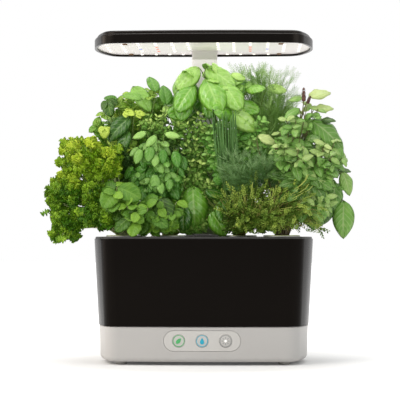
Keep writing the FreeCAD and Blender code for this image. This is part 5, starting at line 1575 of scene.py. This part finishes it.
@dataclass
class WaterBowl:
    """Black bowl, planting deck, pods with sponges and labels, pump and its plumbing."""

    palette: Palette
    rings: int = 9
    spokes: int = 40

    def build(self) -> None:
        """Dresses the bowl's nodes and sets the foam pieces."""
        dress(("bowl",), self.palette.bowl_black)
        dress(("deck", "fill_port_lid"), self.palette.deck_black)
        dress(("lid_hinge_pin", "level_probes"), self.palette.steel)
        dress(tuple("pod_basket_%d" % k for k in range(1, 7)), self.palette.pod_white)
        dress(("pod_labels",), self.palette.label)
        dress(("pump_housing", "pump_cover"), self.palette.pump_dark)
        dress(("pump_shaft",), self.palette.ceramic)
        dress(("pump_impeller",), self.palette.pod_white)
        dress(("rotor_magnet",), self.palette.ferrite)
        dress(("riser_and_spout",), self.palette.tube_clear)
        dress(("bowl_contacts",), self.palette.contact_brass)
        self.sponges()
        self.filter()

    def sponges(self) -> None:
        """Sets six tapered peat sponges with rough, slightly crowned tops."""
        rng = random.Random(3)
        build = bmesh.new()
        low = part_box("grow_sponges")[0].z
        around = [on_circle(1.0, k, self.spokes) for k in range(self.spokes)]
        for k in range(1, 7):
            corner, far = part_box("pod_basket_%d" % k)
            middle = (corner + far) / 2
            loops = []
            for ring in range(self.rings + 1):
                share = ring / self.rings
                radius = (SPONGE_FOOT + SPONGE_FLARE * share) * MM
                z = low + (SPONGE_FACE - low) * share
                loops.append([
                    build.verts.new((
                        middle.x + (radius + rng.uniform(-0.3, 0.0) * MM) * right,
                        middle.y + (radius + rng.uniform(-0.3, 0.0) * MM) * back,
                        z - rng.uniform(0, 0.5) * MM * (ring == self.rings),
                    ))
                    for right, back in around
                ])
            for inner in (0.75, 0.5, 0.25):
                radius = SPONGE_TOP * MM * inner
                loops.append([
                    build.verts.new((
                        middle.x + radius * right,
                        middle.y + radius * back,
                        SPONGE_FACE + rng.uniform(-0.6, 0.6) * MM,
                    ))
                    for right, back in around
                ])
            join_loops(build, loops)
            build.faces.new(list(reversed(loops[0])))
            build.faces.new(loops[-1])
        item = link_mesh("peat_sponges", mesh_from("peat_sponges", build), self.palette.sponge)
        place(item, "water_bowl", "sponge", "grow_sponges")

    def filter(self) -> None:
        """Sets the pump's foam filter as a soft block with pillowed faces."""
        low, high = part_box("pump_filter")
        build = bmesh.new()
        bmesh.ops.create_cube(build, size=1.0)
        bmesh.ops.subdivide_edges(build, edges=build.edges, cuts=9, use_grid_fill=True)
        middle, span = (low + high) / 2, high - low
        rng = random.Random(4)
        for vert in build.verts:
            near = [1 - (2 * abs(c)) ** 6 for c in vert.co]
            crush = 1 - 0.05 * (1 - near[0]) * (1 - near[2]) - 0.03 * rng.random()
            vert.co = middle + Vector([c * s * crush for c, s in zip(vert.co, span)])
        item = link_mesh("foam_filter", mesh_from("foam_filter", build), self.palette.filter)
        place(item, "water_bowl", "filter_foam", "pump_filter")


@dataclass
class TelescopicArm:
    """Two sliding tubes with their detents and the lead inside."""

    palette: Palette

    def build(self) -> None:
        """Dresses the arm's nodes."""
        dress(("arm_middle_tube",), self.palette.arm_grey)
        dress(("arm_upper_tube",), self.palette.arm_lamp_lit)
        dress(("middle_detents", "upper_detents"), self.palette.steel)
        dress(("lamp_lead",), self.palette.lead)


@dataclass
class LampHood:
    """Black hood with its white lamp board and rows of small lamps."""

    palette: Palette
    setter: bpy.types.NodeTree

    def lamp_form(self) -> bpy.types.Object:
        """Template of one surface-mounted lamp, 1 mm to the unit, lens down."""
        build = bmesh.new()
        rings = ((1.75, 0.0), (1.75, -0.55), (1.45, -0.62), (1.35, -0.5), (0.95, -0.72), (0.5, -0.86))
        loops = []
        for radius, z in rings:
            squareness = 4 if radius > 1.3 else 2
            loop = []
            for k in range(16):
                angle = math.tau * (k + 0.5) / 16
                c, s = math.cos(angle), math.sin(angle)
                reach = radius / (abs(c) ** squareness + abs(s) ** squareness) ** (1 / squareness)
                loop.append(build.verts.new((reach * c, reach * s, z)))
            loops.append(loop)
        join_loops(build, loops)
        build.faces.new(loops[0])
        build.faces.new(loops[-1])
        return hidden_form("lamp_form", build)

    def seats(self, node: str) -> list[Seat]:
        """Finds where the lamps of a CAD node sit, from its own faces."""
        item = frame["nodes"][node]
        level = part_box(node)[1].z
        groups: dict[tuple[int, int], list[Vector]] = {}
        for vert in item.data.vertices:
            if vert.co.z > level - 0.1 * MM:
                key = (round(vert.co.x / LAMP_SPACING), round(vert.co.y / LAMP_SPACING))
                groups.setdefault(key, []).append(vert.co.copy())
        found: list[list[Vector]] = []
        for points in groups.values():
            for point in points:
                for group in found:
                    if (group[0] - point).length < LAMP_SPACING:
                        group.append(point)
                        break
                else:
                    found.append([point])
        seats = []
        for group in found:
            x = (min(p.x for p in group) + max(p.x for p in group)) / 2
            y = (min(p.y for p in group) + max(p.y for p in group)) / 2
            seats.append(Seat(Vector((x, y, level)), (0.0, 0.0, 0.0), MM))
        return seats

    def build(self) -> None:
        """Dresses the hood's nodes and sets the lamps."""
        dress(("hood_shell", "arm_coupler"), self.palette.hood_black)
        dress(("led_board",), self.palette.mask_white_painted_glow)
        dress(("heat_spreader",), self.palette.aluminium)
        dress(("hood_screws",), self.palette.screw_brass)
        form = self.lamp_form()
        look = self.palette
        for colour, finish in (("white", look.led_white), ("red", look.led_red), ("blue", look.led_blue)):
            node = "leds_" + colour
            lamps = set_forms(node + "_lamps", self.seats(node), form, finish, self.setter)
            place(lamps, "lamp", "led_" + colour, node)


@dataclass
class Studio:
    """Pale table, soft lamps and the camera of the photograph."""

    lens_mm: float = 136.5
    camera_at: tuple[float, float, float] = (52 * MM, -1858 * MM, 158 * MM)
    yaw_deg: float = 1.744
    shift_up: float = 0.08
    floor_half: float = 6.0
    ambient: float = 0.4

    def build(self) -> None:
        """Makes the camera, floor, lamps and world."""
        camera = bpy.data.cameras.new("camera")
        camera.lens = self.lens_mm
        camera.sensor_width = 36.0
        camera.shift_y = self.shift_up
        item = bpy.data.objects.new("camera", camera)
        item.location = self.camera_at
        item.rotation_euler = (math.pi / 2, 0, math.radians(self.yaw_deg))
        bpy.context.scene.collection.objects.link(item)
        bpy.context.scene.camera = item
        self.floor()
        self.lamp("key", (-1.35, -1.2, 1.35), 1.1, 24, "#fffaf5")
        self.lamp("fill", (1.5, -1.2, 1.0), 1.2, 9, "#ffffff")
        self.lamp("top", (0.1, 0.2, 2.0), 1.4, 20, "#ffffff")
        self.lamp("left side", (-1.7, 0.1, 0.5), 0.9, 8, "#fff0e2")
        self.lamp("under hood", (0.0, -0.01, 0.371), 0.2, 0.12, "#ffffff")
        self.world()
        bpy.context.scene.view_settings.view_transform = "Standard"

    def lamp(self, name: str, at: tuple[float, float, float], size: float, power: float, colour: str) -> None:
        """Adds one square soft lamp that faces the garden."""
        light = bpy.data.lights.new(name, "AREA")
        light.size = size
        light.energy = power
        light.color = linear(colour)[:3]
        item = bpy.data.objects.new(name, light)
        item.location = at
        item.rotation_euler = (Vector((0, 0, 0.18)) - Vector(at)).to_track_quat("-Z", "Y").to_euler()
        bpy.context.scene.collection.objects.link(item)

    def floor(self) -> None:
        """Adds the pale table, brightened only where the camera or a reflection sees it."""
        mesh = bpy.data.meshes.new("table")
        half = self.floor_half
        mesh.from_pydata(
            [(-half, -half, 0), (half, -half, 0), (half, half, 0), (-half, half, 0)], [], [(0, 1, 2, 3)]
        )
        material, tree, shader = new_material("Matt studio table, white")
        path = add_node(tree, "ShaderNodeLightPath").outputs
        seen = calc(tree, "MAXIMUM", path["Is Camera Ray"], path["Is Glossy Ray"])
        away = add_node(tree, "ShaderNodeVectorMath", {"operation": "LENGTH"}, {0: object_place(tree)})
        share = span(tree, away.outputs["Value"], 0.06, 0.9, 0.14, 0.5)
        feed(tree, shader, {
            "Base Color": linear("#f0f0ef"),
            "Roughness": 0.9,
            "Specular IOR Level": 0.1,
            "Emission Color": linear("#ffffff"),
            "Emission Strength": calc(tree, "MULTIPLY", seen, share),
        })
        link_mesh("table", mesh, material)

    def world(self) -> None:
        """Sets a white world for the eye, a soft level for the light, and a dim front for reflections."""
        world = bpy.data.worlds.new("studio")
        bpy.context.scene.world = world
        world.use_nodes = True
        tree = world.node_tree
        path = add_node(tree, "ShaderNodeLightPath").outputs
        way = add_node(tree, "ShaderNodeTexCoord").outputs["Generated"]
        ahead = add_node(tree, "ShaderNodeSeparateXYZ", None, {"Vector": way}).outputs["Y"]
        shine = calc(tree, "MULTIPLY", path["Is Glossy Ray"], span(tree, ahead, 0.12, 1.0, -0.95, -0.35))
        seen = calc(tree, "MAXIMUM", path["Is Camera Ray"], path["Is Transmission Ray"])
        spread = calc(tree, "MULTIPLY", path["Is Diffuse Ray"], self.ambient)
        level = calc(tree, "MAXIMUM", calc(tree, "MAXIMUM", seen, shine), spread)
        feed(tree, tree.nodes["Background"], {"Strength": level, "Color": linear("#ffffff")})


def main() -> None:
    """Builds the whole garden in order."""
    logging.basicConfig(level=logging.INFO, format="%(name)s: %(message)s")
    palette = Palette()
    setter = setting_tree()
    stemmer = stem_tree()
    Studio().build()
    BaseUnit(palette).build()
    ControlPanel(palette).build()
    WaterBowl(palette).build()
    TelescopicArm(palette).build()
    LampHood(palette, setter).build()
    HerbGarden(setter, stemmer).plant()
    for item in [o for o in bpy.data.objects if o.name.endswith("_form")]:
        bpy.data.objects.remove(item, do_unlink=True)


if __name__ == "__main__":
    main()
